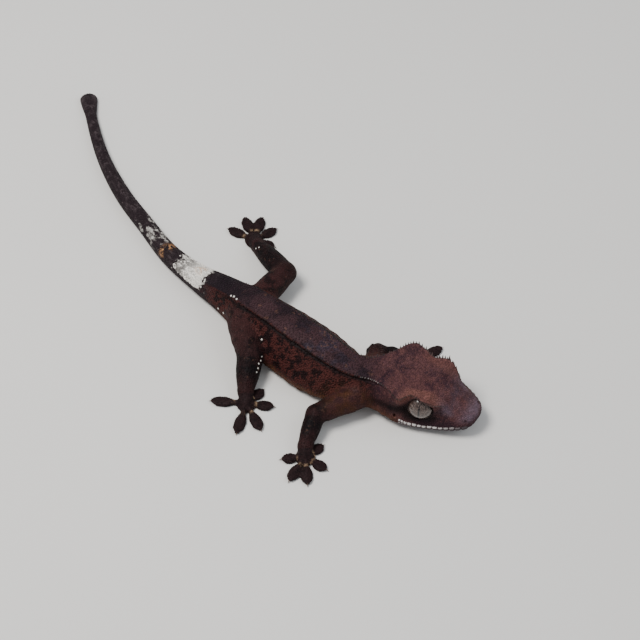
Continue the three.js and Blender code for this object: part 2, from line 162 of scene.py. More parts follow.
def nearPath(spots):  # s, and how far to the left of the path, for points on the floor
    spots = np.asarray(spots, np.float32)
    coarse = path[::15].astype(np.float32)
    s = np.empty(len(spots))
    atOnce = 20000
    for i in range(0, len(spots), atOnce):
        part = spots[i:i + atOnce]
        apart = (part[:, None, 0] - coarse[:, 1]) ** 2 + (part[:, None, 1] - coarse[:, 2]) ** 2
        near = coarse[apart.argmin(1)]
        ahead = (part[:, 0] - near[:, 1]) * np.cos(near[:, 3]) + (part[:, 1] - near[:, 2]) * np.sin(near[:, 3])
        s[i:i + atOnce] = near[:, 0] + ahead
    x0, y0, heading = place(s)
    return s, (spots[:, 1] - y0) * np.cos(heading) - (spots[:, 0] - x0) * np.sin(heading)


def upright(s, over, height):  # y and z before the lean of the head
    angle, up = leanAt(s), height - body["leanHeight"]
    y = over * np.cos(angle) + up * np.sin(angle)
    return y, body["leanHeight"] + up * np.cos(angle) - over * np.sin(angle)


def onPath(points):
    s, over = nearPath(points[:, :2])
    return (s, *upright(s, over, points[:, 2]))


def section(s):  # half of the cross-section, from the middle of the back to the middle of the belly
    half, top, low = (profile(body[k], s) for k in ("halfWidth", "back", "belly"))
    wide = low + (top - low) * profile(body["widest"], s)
    y = [0 * s, half * profile(body["crest"], s), half * profile(body["upper"], s), half]
    z = [top, top - (top - wide) * profile(body["crestDrop"], s), wide + (top - wide) * 0.5, wide]
    y += [half * profile(body["under"], s), 0 * s]
    z += [low + (wide - low) * 0.25, low]
    return np.stack([np.stack(y, -1), np.stack(z, -1)], -1)


def trunkRings(s, steps):
    half = section(s)
    mirrored = half * [-1, 1]
    points = np.concatenate([mirrored[:, 1:2], half, mirrored[:, -2:-1]], 1)
    left = []
    for i in range(half.shape[1] - 1):
        a, b, c, d = (points[:, i + k, None] for k in range(4))
        t = (np.arange(steps) / steps)[None, :, None]
        left.append(b + 0.5 * t * (c - a + t * (2 * a - 5 * b + 4 * c - d + t * (3 * (b - c) + d - a))))
    left = np.concatenate([*left, half[:, -1:]], 1)
    whole = np.concatenate([left, left[:, -2:0:-1] * [-1, 1]], 1)
    return beside(s[:, None], whole[..., 0], whole[..., 1])


def closedLoft(rings):
    rows, count = rings.shape[:2]
    points = np.vstack([rings.reshape(-1, 3), rings[0].mean(0), rings[-1].mean(0)])
    i, k = np.meshgrid(np.arange(rows - 1), np.arange(count), indexing="ij")
    n = (k + 1) % count
    here, there = i * count, (i + 1) * count
    quads = np.stack([here + k, there + k, there + n, here + n], -1).reshape(-1, 4)
    k = np.arange(count)
    n = (k + 1) % count
    end, first = (rows - 1) * count, rows * count
    caps = np.vstack([
        np.stack([np.full(count, first), k, n], -1),
        np.stack([np.full(count, first + 1), end + n, end + k], -1),
    ])
    return points.astype(np.float32), quads.astype(np.uint32), caps.astype(np.uint32)


# The flesh is one distance field on a grid, so that limbs flow into the trunk
field = {
    "pitch": 0.17,
    "low": np.array([-88.5, -31.5, -1.5]),
    "high": np.array([65.0, 33.0, 14.5]),
    "band": 14,
}
counts = np.ceil((field["high"] - field["low"]) / field["pitch"]).astype(int)
dense = np.zeros(counts, np.float32)


def levelSet(points, quads, caps):
    scale = openvdb.createLinearTransform(voxelSize=field["pitch"])
    shifted = (points - field["low"]).astype(np.float32)
    return openvdb.FloatGrid.createLevelSetFromPolygons(
        shifted, triangles=caps, quads=quads, transform=scale, halfWidth=field["band"])


def window(low, high):  # the part of the grid between two corners, and the places of its cells
    low, high = np.minimum(low, high), np.maximum(low, high)
    first = np.clip(np.floor((low - field["low"]) / field["pitch"]).astype(int), 0, counts)
    last = np.clip(np.ceil((high - field["low"]) / field["pitch"]).astype(int), 0, counts)
    cut = tuple(slice(a, b) for a, b in zip(first, last))
    axes = [field["low"][k] + field["pitch"] * np.arange(first[k], last[k]) for k in range(3)]
    return cut, np.stack(np.meshgrid(*axes, indexing="ij"), -1).astype(np.float32)


def joined(a, b, soft):
    h = np.clip(0.5 + 0.5 * (a - b) / soft, 0, 1)
    return a + (b - a) * h - soft * h * (1 - h)


def carved(a, b, soft):
    return -joined(-a, b, soft)


def add(low, high, form, soft):
    cut, p = window(low, high)
    dense[cut] = joined(dense[cut], form(p), soft)


def carve(low, high, form, soft):
    cut, p = window(low, high)
    dense[cut] = carved(dense[cut], form(p), soft)


def press(low, high, depth):  # moves the surface in by a depth, or out where the depth is below 0
    cut, p = window(low, high)
    dense[cut] += depth(p)


def limbForm(a, b, start, end, swell):
    a, b = np.array(a, float), np.array(b, float)
    along = b - a

    def form(p):
        t = np.clip((p - a) @ along / (along @ along), 0, 1)
        radius = start + (end - start) * t + swell * np.sin(np.pi * t)
        return np.linalg.norm(p - a - t[..., None] * along, axis=-1) - radius

    return form


def ovalForm(centre, radii, turn=None):
    radii = np.array(radii, float)

    def form(p):
        local = (p - centre) @ (turn if turn is not None else np.eye(3))
        scaled = np.linalg.norm(local / radii, axis=-1)
        steep = np.linalg.norm(local / radii**2, axis=-1)
        return scaled * (scaled - 1) / np.maximum(steep, 1e-6)

    return form


legs = {
    "arm_right": {
        "joints": [(37.0, -3.4, 4.8), (32.7, -13.2, 4.0), (35.5, -20.0, 1.9)],
        "upper": (2.9, 2.2, 0.2),
        "lower": (2.1, 1.6, 0.3),
        "palm": (37.2, -22.0),
        "toes": [(-133, 5.4), (-78, 7.6), (-45, 7.7), (5, 6.0), (80, 5.2)],
    },
    "arm_left": {
        "joints": [(36.0, 3.8, 5.6), (32.0, 9.2, 4.6), (36.6, 14.4, 1.9)],
        "upper": (3.0, 2.2, 0.1),
        "lower": (2.1, 1.6, 0.2),
        "palm": (38.6, 16.2),
        "toes": [(-14, 5.4), (26, 6.8), (74, 7.5), (129, 5.0), (172, 5.0)],
    },
    "leg_right": {
        "joints": [(0.5, -3.6, 5.0), (10.2, -10.8, 5.0), (14.6, -17.4, 2.1)],
        "upper": (3.4, 3.0, 0.3),
        "lower": (2.9, 1.9, 0.4),
        "palm": (16.8, -19.6),
        "toes": [(-146, 8.4), (-63, 8.8), (-24, 8.4), (34, 6.4), (88, 5.6)],
    },
    "leg_left": {
        "joints": [(0.3, 3.2, 5.0), (-0.5, 13.6, 4.8), (-12.6, 17.4, 2.1)],
        "upper": (3.1, 2.6, 0.3),
        "lower": (2.5, 1.8, 0.4),
        "palm": (-15.8, 19.2),
        "toes": [(-170, 7.6), (150, 8.0), (118, 7.8), (76, 6.6), (18, 5.4)],
    },
}
foot = {
    "toe": [(0.1, 0.8, 1.5), (0.34, 0.58, 1.25), (0.47, 1.05, 1.12), (0.62, 1.36, 1.05), (0.78, 1.32, 1.0),
            (0.89, 1.0, 0.92), (0.97, 0.42, 0.85)],
    "palmRadii": (1.75, 1.55, 0.0),
    "palmHeight": 0.75,
    "wristHeight": 1.5,
    "web": (2.3, 2.3, 0.7),
    "webHeight": 0.42,
    "thick": (2.5, 2.2, 1.8),  # taken off the distance to the upper length, the lower length and the foot
    "toeRoom": 1.7,  # how far aside and how high a toe reaches
    "clawRadius": 0.24,
    "clawLength": 1.15,
    "clawHeight": 0.6,
    "clawBend": 0.36,
    "soft": 0.45,
}


def toeAxes(degrees):  # forwards and to the left of a toe
    turn = math.radians(degrees)
    forward = np.array([math.cos(turn), math.sin(turn), 0])
    return forward, np.array([-forward[1], forward[0], 0])


def toeForm(palm, degrees, reach):
    forward, side = toeAxes(degrees)
    heart = np.array([*palm, 0])
    shares = [t[0] for t in foot["toe"]]

    def form(p):
        share = (p - heart) @ forward / reach
        held = np.clip(share, shares[0], shares[-1])
        half = profile([(t[0], t[1]) for t in foot["toe"]], held)
        high = profile([(t[0], t[2]) for t in foot["toe"]], held)
        low = np.where(held > 0.85, 0.28 * np.clip((held - 0.85) / 0.05, 0, 1), -0.15)
        middle, tall = (high + low) / 2, (high - low) / 2
        across, up = (p @ side - heart @ side) / half, (p[..., 2] - middle) / tall
        outside = (np.sqrt(across**2 + up**2) - 1) * np.minimum(half, tall)
        beyond = (share - held) * reach
        return np.where(beyond == 0, outside, np.sqrt(np.maximum(outside, 0) ** 2 + beyond**2) - 0.1)

    return form


eye = {
    "s": 59.7,
    "out": 5.05,
    "z": 7.55,
    "zInSolid": 7.4,
    "radii": np.array([3.05, 3.32, 3.2]),
    "forward": 0.24,
    "up": 0.3,
    "stretch": 1.03,
    "rim": 3.1,
    "rimThick": 0.38,
    "rimOut": 1.0,
    "hollow": 2.85,
    "flare": 0.45,
    "play": 0.06,
    "folds": [(3.9, 0.17, 1), (4.6, 0.18, 0.8)],  # distance from the eye's axis, width and share of the depth
    "foldDepth": 0.13,
}


def eyePlace(side):  # centre, and the axes out of the head, forwards and up as columns
    heading = float(place(eye["s"])[2])
    tilt = Matrix.Rotation(float(leanAt(eye["s"])), 3, Vector((math.cos(heading), math.sin(heading), 0)))
    turn = tilt @ Matrix.Rotation(heading + side * (math.pi / 2 - eye["forward"]), 3, "Z")
    turn = turn @ Matrix.Rotation(-eye["up"], 3, "Y")
    return beside(eye["s"], side * eye["out"], eye["z"]), np.array(turn)


def fromEye(p, centre, turn):  # places as the eye has them, and how far they are from its axis
    local = (p - centre) @ turn
    return local, np.hypot(local[..., 1] / eye["stretch"], local[..., 2])


def around(centre, reach):
    return np.array(centre) - reach, np.array(centre) + reach


def headingMatrix(s):
    return np.array(Matrix.Rotation(float(place(s)[2]), 3, "Z"))


print("flesh: trunk")
rings = trunkRings(np.linspace(-body["tailLength"], body["snoutToVent"], 620), 22)
rings[..., 2] = np.maximum(rings[..., 2], -0.3)
levelSet(*closedLoft(rings)).copyToArray(dense)
axial = dense.copy()  # trunk, head and tail without the limbs

print("flesh: limbs")
for leg in legs.values():
    top, middle, bottom = leg["joints"]
    for a, b, sizes, soft in ((top, middle, leg["upper"], 1.6), (middle, bottom, leg["lower"], 0.8)):
        add(np.minimum(a, b) - 5, np.maximum(a, b) + 5, limbForm(a, b, *sizes), soft)
    heart = np.array([*leg["palm"], foot["palmHeight"]])
    wrist = np.array([bottom[0] * 0.7 + heart[0] * 0.3, bottom[1] * 0.7 + heart[1] * 0.3, foot["wristHeight"]])
    add(*around(heart, 6), limbForm(wrist, heart, *foot["palmRadii"]), 0.8)
    add(*around(heart, 5), ovalForm(heart * [1, 1, 0] + [0, 0, foot["webHeight"]], foot["web"]), 0.6)
    for degrees, reach in leg["toes"]:
        add(*around(heart, reach + 2), toeForm(leg["palm"], degrees, reach), foot["soft"])

print("flesh: head")
mouth = {
    "line": [(54.9, 3.7), (57, 3.2), (60.5, 2.95), (65, 3.1), (69, 3.5), (72, 3.8), (77, 3.9)],
    "corner": 57,
    "depth": 0.34,
    "width": 0.2,
}
pits = {  # along, aside, height and radii
    "ear": (52.6, 8.5, 5.0, (0.55, 0.75, 0.85)),
    "nostril": (70.4, 3.0, 5.5, (0.36, 0.42, 0.3)),
}
for side in sides.values():
    centre, turn = eyePlace(side)

    def rimForm(p):
        local, far = fromEye(p, centre, turn)
        return np.hypot(far - eye["rim"], local[..., 0] - eye["rimOut"]) - eye["rimThick"]

    def hollowForm(p):
        local, far = fromEye(p, centre, turn)
        wide = eye["hollow"] + (local[..., 0] - eye["rimOut"]) * eye["flare"]
        return np.maximum(far - wide, eye["rimOut"] - local[..., 0])

    carve(*around(centre, 6), hollowForm, 0.5)
    add(*around(centre, 6), rimForm, 0.5)
    carve(*around(centre, 5), ovalForm(centre, eye["radii"] + eye["play"], turn), 0.12)
    for s, y, z, radii in pits.values():
        at = beside(s, side * y, z)
        carve(*around(at, 2), ovalForm(at, radii, headingMatrix(s)), 0.25)


def onHead(p):  # length along the straight head, across it, and height before the lean
    x0, y0, _ = place(mouth["corner"])
    x1, y1, _ = place(body["snoutToVent"])
    yaw = math.atan2(y1 - y0, x1 - x0)
    dx, dy = p[..., 0] - x0, p[..., 1] - y0
    along = dx * math.cos(yaw) + dy * math.sin(yaw)
    over = dy * math.cos(yaw) - dx * math.sin(yaw)
    up = p[..., 2] - body["leanHeight"]
    c, n = math.cos(body["lean"]), math.sin(body["lean"])
    return mouth["corner"] + along, over * c + up * n, body["leanHeight"] + up * c - over * n


def lipDistance(p):
    along, _, up = onHead(p)
    line = profile(mouth["line"], along)
    slope = (profile(mouth["line"], along + 0.1) - line) / 0.1
    behind = np.maximum(mouth["line"][0][0] - along, 0)
    return np.hypot((up - line) / np.sqrt(1 + slope**2), behind)


def bell(value, width):
    return np.exp(-((value / width) ** 2))


def fade(value, low, high):
    t = np.clip((value - low) / (high - low), 0, 1)
    return t * t * (3 - 2 * t)


def fadeOut(value, low, high):
    return 1 - fade(value, low, high)


relief = {
    "ledge": 0.3,
    "ledgeWidth": 0.38,
    "groove": 0.24,
    "grooveWidth": 0.3,
    "grooveAt": (0.28, 0.58),  # out from the crest and down
    "flankFold": 0.2,
    "flankFoldAt": 1.25,
    "neckFold": 0.14,
    "ripple": 0.06,
    "canthus": 0.3,
    "canthusWidth": 0.55,
    "canthusEnds": [(63.8, 5.6, 8.9), (69.6, 3.3, 6.9)],
    "dents": [  # along, aside, height, radii and depth, where a depth below 0 swells: jaw, cheek and snout
        (54.6, 7.7, 4.9, (2.4, 1.6, 1.9), -0.4),
        (57.6, 8.2, 4.2, (1.2, 1.0, 1.0), 0.2),
        (66.5, 3.0, 8.9, (1.6, 0.9, 0.8), 0.16),
    ],
}


def trunkRelief(s, y, z):  # the sharp ledge of the crest with the groove under it, and folds
    spot = section(s[..., 0])[:, :, 1]
    dy, dz = np.abs(y) - spot[..., 0, None], z - spot[..., 1, None]
    here = fade(s, 2, 9) * fadeOut(s, 64, 66)
    trunk = fade(s, 2, 12) * fadeOut(s, 50, 53)
    out, down = relief["grooveAt"]
    depth = -relief["ledge"] * bell(np.hypot(dy, dz), relief["ledgeWidth"]) * here
    depth += relief["groove"] * bell(np.hypot(dy - out, dz + down), relief["grooveWidth"]) * trunk
    half = profile(body["halfWidth"], s[..., 0])[..., None]
    side = fade(np.abs(y) / half, 0.6, 0.9)
    fold = bell(z - relief["flankFoldAt"] - 0.15 * np.sin(s * 0.9), 0.45)
    depth -= relief["flankFold"] * fold * side * fade(s, 3, 8) * fadeOut(s, 33, 37)
    wave = np.sin(2.3 * s + 1.1 * np.sin(0.8 * z + s * 0.3))
    depth += relief["neckFold"] * wave * side * fade(s, 36, 42) * fadeOut(s, 49, 51.5) * bell(z - 4.5, 3.2)
    wave = np.sin(1.9 * s + 2 * np.sin(0.7 * z))
    depth += relief["ripple"] * wave * side * fade(s, 6, 12) * fadeOut(s, 36, 40)
    return depth


ends = beside(np.linspace(0, 66, 40), 0, 0)
cut, p = window(ends.min(0) - [4, 11, 1], ends.max(0) + [4, 11, 14])
s, over = nearPath(p[:, :, 0, :2].reshape(-1, 2))
s, over = (v.reshape(p.shape[0], p.shape[1], 1) for v in (s, over))
y, z = upright(s, over, p[..., 2])
dense[cut] += trunkRelief(s, y, z).astype(np.float32)

for side in sides.values():
    centre, turn = eyePlace(side)

    def lidFolds(p):  # round the upper half of the eye
        local, far = fromEye(p, centre, turn)
        above = fade(local[..., 2] + 0.35 * local[..., 1], -0.5, 1.5) * fade(local[..., 0], 0.2, 1)
        return eye["foldDepth"] * sum(share * bell(far - at, wide) for at, wide, share in eye["folds"]) * above

    press(*around(centre, 6), lidFolds)
    for s, y, z, radii, depth in relief["dents"]:
        at, yaw = beside(s, side * y, z), headingMatrix(s)
        press(*around(at, 4), lambda p: depth * bell(np.linalg.norm(((p - at) @ yaw) / radii, axis=-1), 1))
    a, b = (beside(s, side * y, z) for s, y, z in relief["canthusEnds"])
    near = limbForm(a, b, 0, 0, 0)
    press(np.minimum(a, b) - 2, np.maximum(a, b) + 2,
          lambda p: -relief["canthus"] * bell(near(p), relief["canthusWidth"]))

press(*around(beside(63, 0, 4), [12, 12, 6]), lambda p: mouth["depth"] * bell(lipDistance(p), mouth["width"]))

heights = (field["low"][2] + field["pitch"] * np.arange(counts[2])).astype(np.float32)
dense = np.maximum(dense, -heights)  # flat where it rests

print("flesh: surface")
volume = openvdb.FloatGrid(field["pitch"] * field["band"])
volume.transform = openvdb.createLinearTransform(voxelSize=field["pitch"])
volume.copyFromArray(dense)
fleshPoints, fleshTriangles, fleshQuads = volume.convertToPolygons(isovalue=0.0, adaptivity=0.0)
fleshPoints = fleshPoints.astype(float) + field["low"]
print("flesh:", len(fleshPoints), "points,", len(fleshTriangles) + 2 * len(fleshQuads), "triangles")

# From the animal's millimetres to the frame's metres
eyeBoxes = [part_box("eye_left"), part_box("eye_right")]
eyeMiddles = [np.array((Vector(a) + Vector(b)) / 2) * 1000 for a, b in eyeBoxes]
offset = sum(eyeMiddles) / 2 - beside(eye["s"], 0, eye["zInSolid"])
print("offset in mm:", np.round(offset, 3))


def toFrame(points):
    return (np.asarray(points) + offset) / 1000


def pieceOf(name, slotName, points, *groups):  # each group holds faces with the same number of corners
    mesh = bpy.data.meshes.new(name)
    loops = np.concatenate([g.ravel() for g in groups]).astype(np.int32)
    sizes = np.concatenate([np.full(len(g), g.shape[1]) for g in groups]).astype(np.int32)
    starts = np.concatenate([[0], np.cumsum(sizes)[:-1]]).astype(np.int32)
    mesh.vertices.add(len(points))
    mesh.vertices.foreach_set("co", toFrame(points).astype(np.float32).ravel())
    mesh.loops.add(len(loops))
    mesh.loops.foreach_set("vertex_index", loops)
    mesh.polygons.add(len(sizes))
    mesh.polygons.foreach_set("loop_start", starts)
    mesh.polygons.foreach_set("use_smooth", np.ones(len(sizes), bool))
    mesh.update(calc_edges=True)
    mesh.validate()
    piece = bpy.data.objects.new(name, mesh)
    bpy.context.collection.objects.link(piece)
    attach(piece, "root")
    return piece


hues = {
    "crown": (0.082, 0.034, 0.036), "crownDark": (0.028, 0.012, 0.019), "brow": (0.16, 0.066, 0.054),
    "cheek": (0.006, 0.0026, 0.0032), "snoutSheen": (0.135, 0.095, 0.125), "back": (0.045, 0.0215, 0.0255),
    "backDark": (0.012, 0.0068, 0.0105), "fleck": (0.125, 0.06, 0.042), "shoulderSheen": (0.04, 0.03, 0.046),
    "flank": (0.055, 0.0155, 0.0135), "flankDark": (0.006, 0.0028, 0.0036), "flankLow": (0.12, 0.045, 0.02),
    "belly": (0.3, 0.19, 0.13), "limb": (0.04, 0.0145, 0.0145), "limbDark": (0.0045, 0.0024, 0.0032),
    "tail": (0.021, 0.0135, 0.0165), "tailGrey": (0.085, 0.065, 0.07), "white": (0.82, 0.79, 0.74),
    "orange": (0.66, 0.34, 0.15), "toe": (0.02, 0.0095, 0.0105), "toeRoot": (0.36, 0.24, 0.15),
    "lip": (0.6, 0.55, 0.54),
}
markings = {
    "patches": [(5.5, 1), (1.9, 2), (0.8, 3, 2)],  # size, seed and octaves of large, middle and small clouds
    "headFrom": (43.5, 48),
    "tailFrom": (-7, 1),
    "limbFrom": (0.2, 1.1),
    "flankMottle": 0.88,
    "backMottle": 0.8,
    "flecks": 0.5,
    "crestShadow": (0.5, 0.36),  # painted shadow under the crest's overhang: how far below the crest, and its width
    "crownMottle": 0.75,
    "browAt": 4.5,
    "browWidth": 1.25,
    "eyeBand": 0.95,
    "limbMottle": 0.75,
    "toeRing": (0.36, 0.04),  # share of the toe, and width
    "tailPatch": [
        (-16.8, 0), (-15.2, 0.35), (-13.2, 0.8), (-10.5, 1), (-6.6, 1), (-5.0, 0.5), (-3.4, 0.1), (-2, 0),
    ],
    "tailMottle": [(-35.5, 0), (-32.5, 0.45), (-26, 0.66), (-22, 0.6), (-20.8, 0)],
    "orangeSpot": (-19.8, 0.91),
    "dots": [  # single white scales: knee, thigh, hip and left shin
        (12.85, -9.94, 5.59), (13.41, -10.92, 5.49), (13.88, -11.78, 5.38), (14.32, -12.63, 5.25),
        (14.73, -13.45, 4.87), (10.42, -6.84, 7.06), (-3.11, -2.61, 8.72), (-2.25, -2.67, 8.9),
        (-1.38, -2.72, 9.07), (-6.1, -5.4, 4.0), (-4.6, -6.4, 3.6), (-11.5, 15.2, 5.0), (-12.6, 14.2, 4.6),
    ],
}
pathInside = (-81.9, 71.9)  # where the cross-section has a size


def clouds(points, size, seed, octaves=3):  # soft noise from -1 to 1, in patches of about this size
    shift = Vector((seed * 17.3, seed * 5.1, seed * 9.7))
    made = [noise.fractal(Vector(p) / size + shift, 1.0, 2.0, octaves) for p in points]
    return np.clip(np.array(made) * 1.1, -1, 1)


def limbPlace(points):  # up to 1 on the upper length of the nearest leg, to 2 on the lower; and the share of a toe
    best = np.full(len(points), 1e9)
    along, share, apart = np.zeros(len(points)), np.zeros(len(points)), np.full(len(points), 9.0)
    for leg in legs.values():
        spots = [np.array(j, float) for j in leg["joints"]] + [np.array([*leg["palm"], foot["palmHeight"]])]
        for i in range(3):
            step = spots[i + 1] - spots[i]
            t = np.clip((points - spots[i]) @ step / (step @ step), 0, 1)
            far = np.linalg.norm(points - spots[i] - t[:, None] * step, axis=1) - foot["thick"][i]
            along = np.where(far < best, i + t, along)
            best = np.minimum(far, best)
        heart = spots[3]
        for degrees, reach in leg["toes"]:
            forward, side = toeAxes(degrees)
            u, v = (points - heart) @ forward / reach, np.abs((points - heart) @ side)
            inside = (v < foot["toeRoom"]) & (u > 0.25) & (u < 1.2) & (v < apart) & (points[:, 2] < foot["toeRoom"])
            share, apart = np.where(inside, u, share), np.where(inside, v, apart)
            along = np.where(inside, 3, along)
    return along, share


def fieldAt(grid, points):
    cell = np.clip(np.rint((points - field["low"]) / field["pitch"]).astype(int), 0, np.array(grid.shape) - 1)
    return grid[cell[:, 0], cell[:, 1], cell[:, 2]]


def mixed(colour, name, amount):
    amount = np.clip(amount, 0, 1)[:, None]
    return colour * (1 - amount) + np.array(hues[name]) * amount


def layered(below, above, share):
    return below * (1 - share[:, None]) + above * share[:, None]


def plain(at, name):
    return np.tile(np.array(hues[name]), (len(at.s), 1))


def markedPlaces(points, single):  # all that the markings go by, for each point
    s, y, z = onPath(points)
    spot = section(np.clip(s, *pathInside))
    large, middle, small = (clouds(points, *patch) for patch in markings["patches"])
    return SimpleNamespace(
        points=points, s=s, y=y, z=z, side=np.abs(y), crestY=spot[:, 1, 0], below=spot[:, 1, 1] - z,
        wideY=spot[:, 3, 0], wideZ=spot[:, 3, 1], large=large, middle=middle, small=small, grain=single - 0.5,
    )


def trunkColour(at):  # mottled flank, plum back with a bluish painted sheen at the shoulders, and a painted shadow line under the crest
    s, z, side, large, middle, small, grain = at.s, at.z, at.side, at.large, at.middle, at.small, at.grain
    mottle = fade(middle + 0.6 * small + 0.3 * grain, -0.12, 0.22)
    colour = mixed(plain(at, "flank"), "flankDark", mottle * markings["flankMottle"])
    colour = mixed(colour, "flankLow", fade(at.wideZ + 0.3 - z + 0.9 * middle, -0.2, 1.3) * fade(s, 0, 8) * 0.6)
    colour = mixed(colour, "flankLow", bell(s - 42.5, 5) * bell(z - 4.2, 3) * (0.42 + 0.4 * middle))
    mottle = fade(large + 0.4 * middle + 0.3 * grain, -0.25, 0.45)
    back = mixed(plain(at, "back"), "backDark", mottle * markings["backMottle"])
    back = mixed(back, "backDark", fadeOut(s, 0, 16))
    # painted sheen: bluish-grey patches on the top of the back at the shoulders
    back = mixed(back, "shoulderSheen", bell(s - 33, 7) * fade(0.4 * large + middle + 0.3, 0, 0.8) * 0.65)
    flecks = fade(middle + 0.7 * small + 0.3 * grain, 0.55, 0.85) * fade(s, 4, 14)
    back = mixed(back, "fleck", flecks * markings["flecks"])
    colour = layered(colour, back, fade(at.crestY + 0.12 - side, -0.18, 0.18) * fade(z - at.wideZ, 0.5, 1.6))
    low, wide = markings["crestShadow"]
    # painted shadow: a near-black line just below the overhanging crest, on its outer side
    line = bell(at.below - low, wide) * (side > at.crestY - 0.1) * fade(s, -4, 6) * fadeOut(s, 49, 52)
    return mixed(colour, "cheek", line)


def headColour(at):  # striped crown, orange-brown brow, black round the eye and behind it, and a grey-blue painted sheen on the snout
    s, z, side, large, middle, small, grain = at.s, at.z, at.side, at.large, at.middle, at.small, at.grain
    mottle = fade(large * 0.8 + middle * 0.5 + 0.25 * grain, 0.0, 0.5)
    face = mixed(plain(at, "crown"), "crownDark", mottle * markings["crownMottle"])
    stripes = np.sin((s - 0.55 * (at.y + 9)) * 1.15 + 0.8 * large)
    face = mixed(face, "crownDark", fade(stripes, 0.25, 0.9) * bell(s - 49, 4.5) * 0.9)
    face = mixed(face, "crownDark", bell(s - 46.5, 3.2) * 0.35)
    face = mixed(face, "brow", fade(small + 1.2 * grain, -0.3, 0.8) * 0.3)
    for one in sides.values():
        centre, turn = eyePlace(one)
        local = (at.points - centre) @ turn
        far = np.hypot(local[:, 1], local[:, 2])
        out = fade(local[:, 0], -0.6, 0.4)
        brow = bell(far - markings["browAt"], markings["browWidth"]) * fade(local[:, 2], 0.4, 2.6) * out
        face = mixed(face, "brow", (0.5 if one > 0 else 1) * brow * (0.85 + 0.3 * grain))
        under = fade(-local[:, 2] - 0.25 * local[:, 1], -0.4, 1.4)
        face = mixed(face, "cheek", bell(far - 3.5, 1.5) * under * out * 0.95)
        face = mixed(face, "cheek", bell(far - 3.0, 0.36) * out)
    outward = side / at.wideY
    band = bell(z - (6.6 + 0.12 * (s - 50)), 1.35) * fade(outward, 0.72, 0.9) * fadeOut(s, 56.5, 58.5)
    face = mixed(face, "cheek", band * markings["eyeBand"])
    face = mixed(face, "flankLow", bell(z - 3.6, 1.3) * fade(outward, 0.75, 0.95) * fadeOut(s, 52, 56) * 0.6)
    face = mixed(face, "crownDark", fade(5.4 - z, -0.4, 1.0) * fade(s, 58, 62) * 0.7)
    # painted sheen: grey-blue on the upper snout tip, along the ridges from the eyes to the nostrils, and on the top
    # of the snout
    face = mixed(face, "snoutSheen", fade(s, 67.5, 70.8) * fade(z, 4.6, 6.2) * (0.65 + 0.3 * middle))
    face = mixed(face, "snoutSheen", bell(s - 66.6, 2.6) * bell(side - 3.9, 0.8) * fade(z, 6, 7.2) * 0.5)
    return mixed(face, "snoutSheen", fade(s, 62, 66) * fade(z, 6.4, 8) * (0.14 + 0.2 * middle))


def tailColour(at):  # near black with grey streaks, a white patch, white mottling and an orange spot
    s, y, z, middle, small, grain = at.s, at.y, at.z, at.middle, at.small, at.grain
    mottle = fade(middle + 0.6 * small + 0.3 * grain, 0.3, 0.75)
    rear = mixed(plain(at, "tail"), "tailGrey", mottle * 0.5 * fadeOut(s, -20, -12))
    rear = mixed(rear, "tailGrey", fadeOut(s, -79.5, -77) * bell(at.side - 1.6, 0.7) * 0.4)
    upper = fade(z - at.wideZ, 0.0, 1.3)
    streaks = clouds(np.column_stack([s / 2.6, y / 0.55, z / 1.5]), 1.0, 4, 2)
    rear = mixed(rear, "tailGrey", fade(streaks + 0.3 * grain, 0.0, 0.7) * upper * 0.4)
    edge = 0.5 * small + 0.3 * middle + 0.5 * grain
    patch = fade(profile(markings["tailPatch"], s) * upper + 0.52 * edge + 0.15 * streaks, 0.4, 0.52)
    pure = fade(s, -13, -7.5) * 0.75 + 0.25
    rear = mixed(rear, "white", patch * (pure + (1 - pure) * fade(streaks + 0.5 * grain, -0.2, 0.3)))
    mottle = profile(markings["tailMottle"], s) * fade(z - at.wideZ, -0.6, 0.5) * (1 - 0.55 * bell(y, 0.35))
    mottle = fade(mottle * (0.9 + 0.4 * middle) + 0.4 * edge + 0.3 * streaks, 0.5, 0.85)
    rear = mixed(rear, "white", mottle * 0.55)
    middleOf, wide = markings["orangeSpot"]
    spot = bell(s - middleOf, wide) * upper * fade(edge + 0.3 * middle, -0.2, 0.15) * bell(y + 0.5, 1.9)
    rear = mixed(rear, "orange", spot)
    tinge = bell(s + 7.6, 1.7) * bell(y - 0.3, 1.2) * upper * fade(edge, -0.1, 0.25)
    return mixed(rear, "orange", tinge * 0.6)


def limbColour(at):  # dark lower limbs and feet, orange-brown upper arm, a pale ring at each toe's root
    s, z, large, middle, small, grain = at.s, at.z, at.large, at.middle, at.small, at.grain
    along, share = limbPlace(at.points)
    mottle = fade(middle * 0.8 + large * 0.5 + 0.3 * grain, 0.0, 0.45)
    leg = mixed(plain(at, "limb"), "limbDark", mottle * markings["limbMottle"])
    leg = mixed(leg, "flankLow", fade(s, 24, 28) * fadeOut(along, 0.5, 0.95) * (0.2 + 0.4 * middle))
    leg = mixed(leg, "limbDark", bell(along - 1.45, 0.55) * (0.95 + 0.3 * middle))
    leg = mixed(leg, "fleck", fade(small + 0.6 * middle + 0.4 * grain, 0.55, 0.95) * 0.3)
    onFoot = fade(along, 1.9, 2.6)
    leg = mixed(leg, "toe", onFoot)
    leg = mixed(leg, "limbDark", fade(small + 0.5 * grain, 0.1, 0.5) * onFoot * 0.55)
    root, wide = markings["toeRing"]
    ring = bell(share - root, wide) * fade(z, 0.3, 0.9) * fade(middle + grain, -0.5, 0.6)
    return mixed(leg, "toeRoot", ring * 0.8)


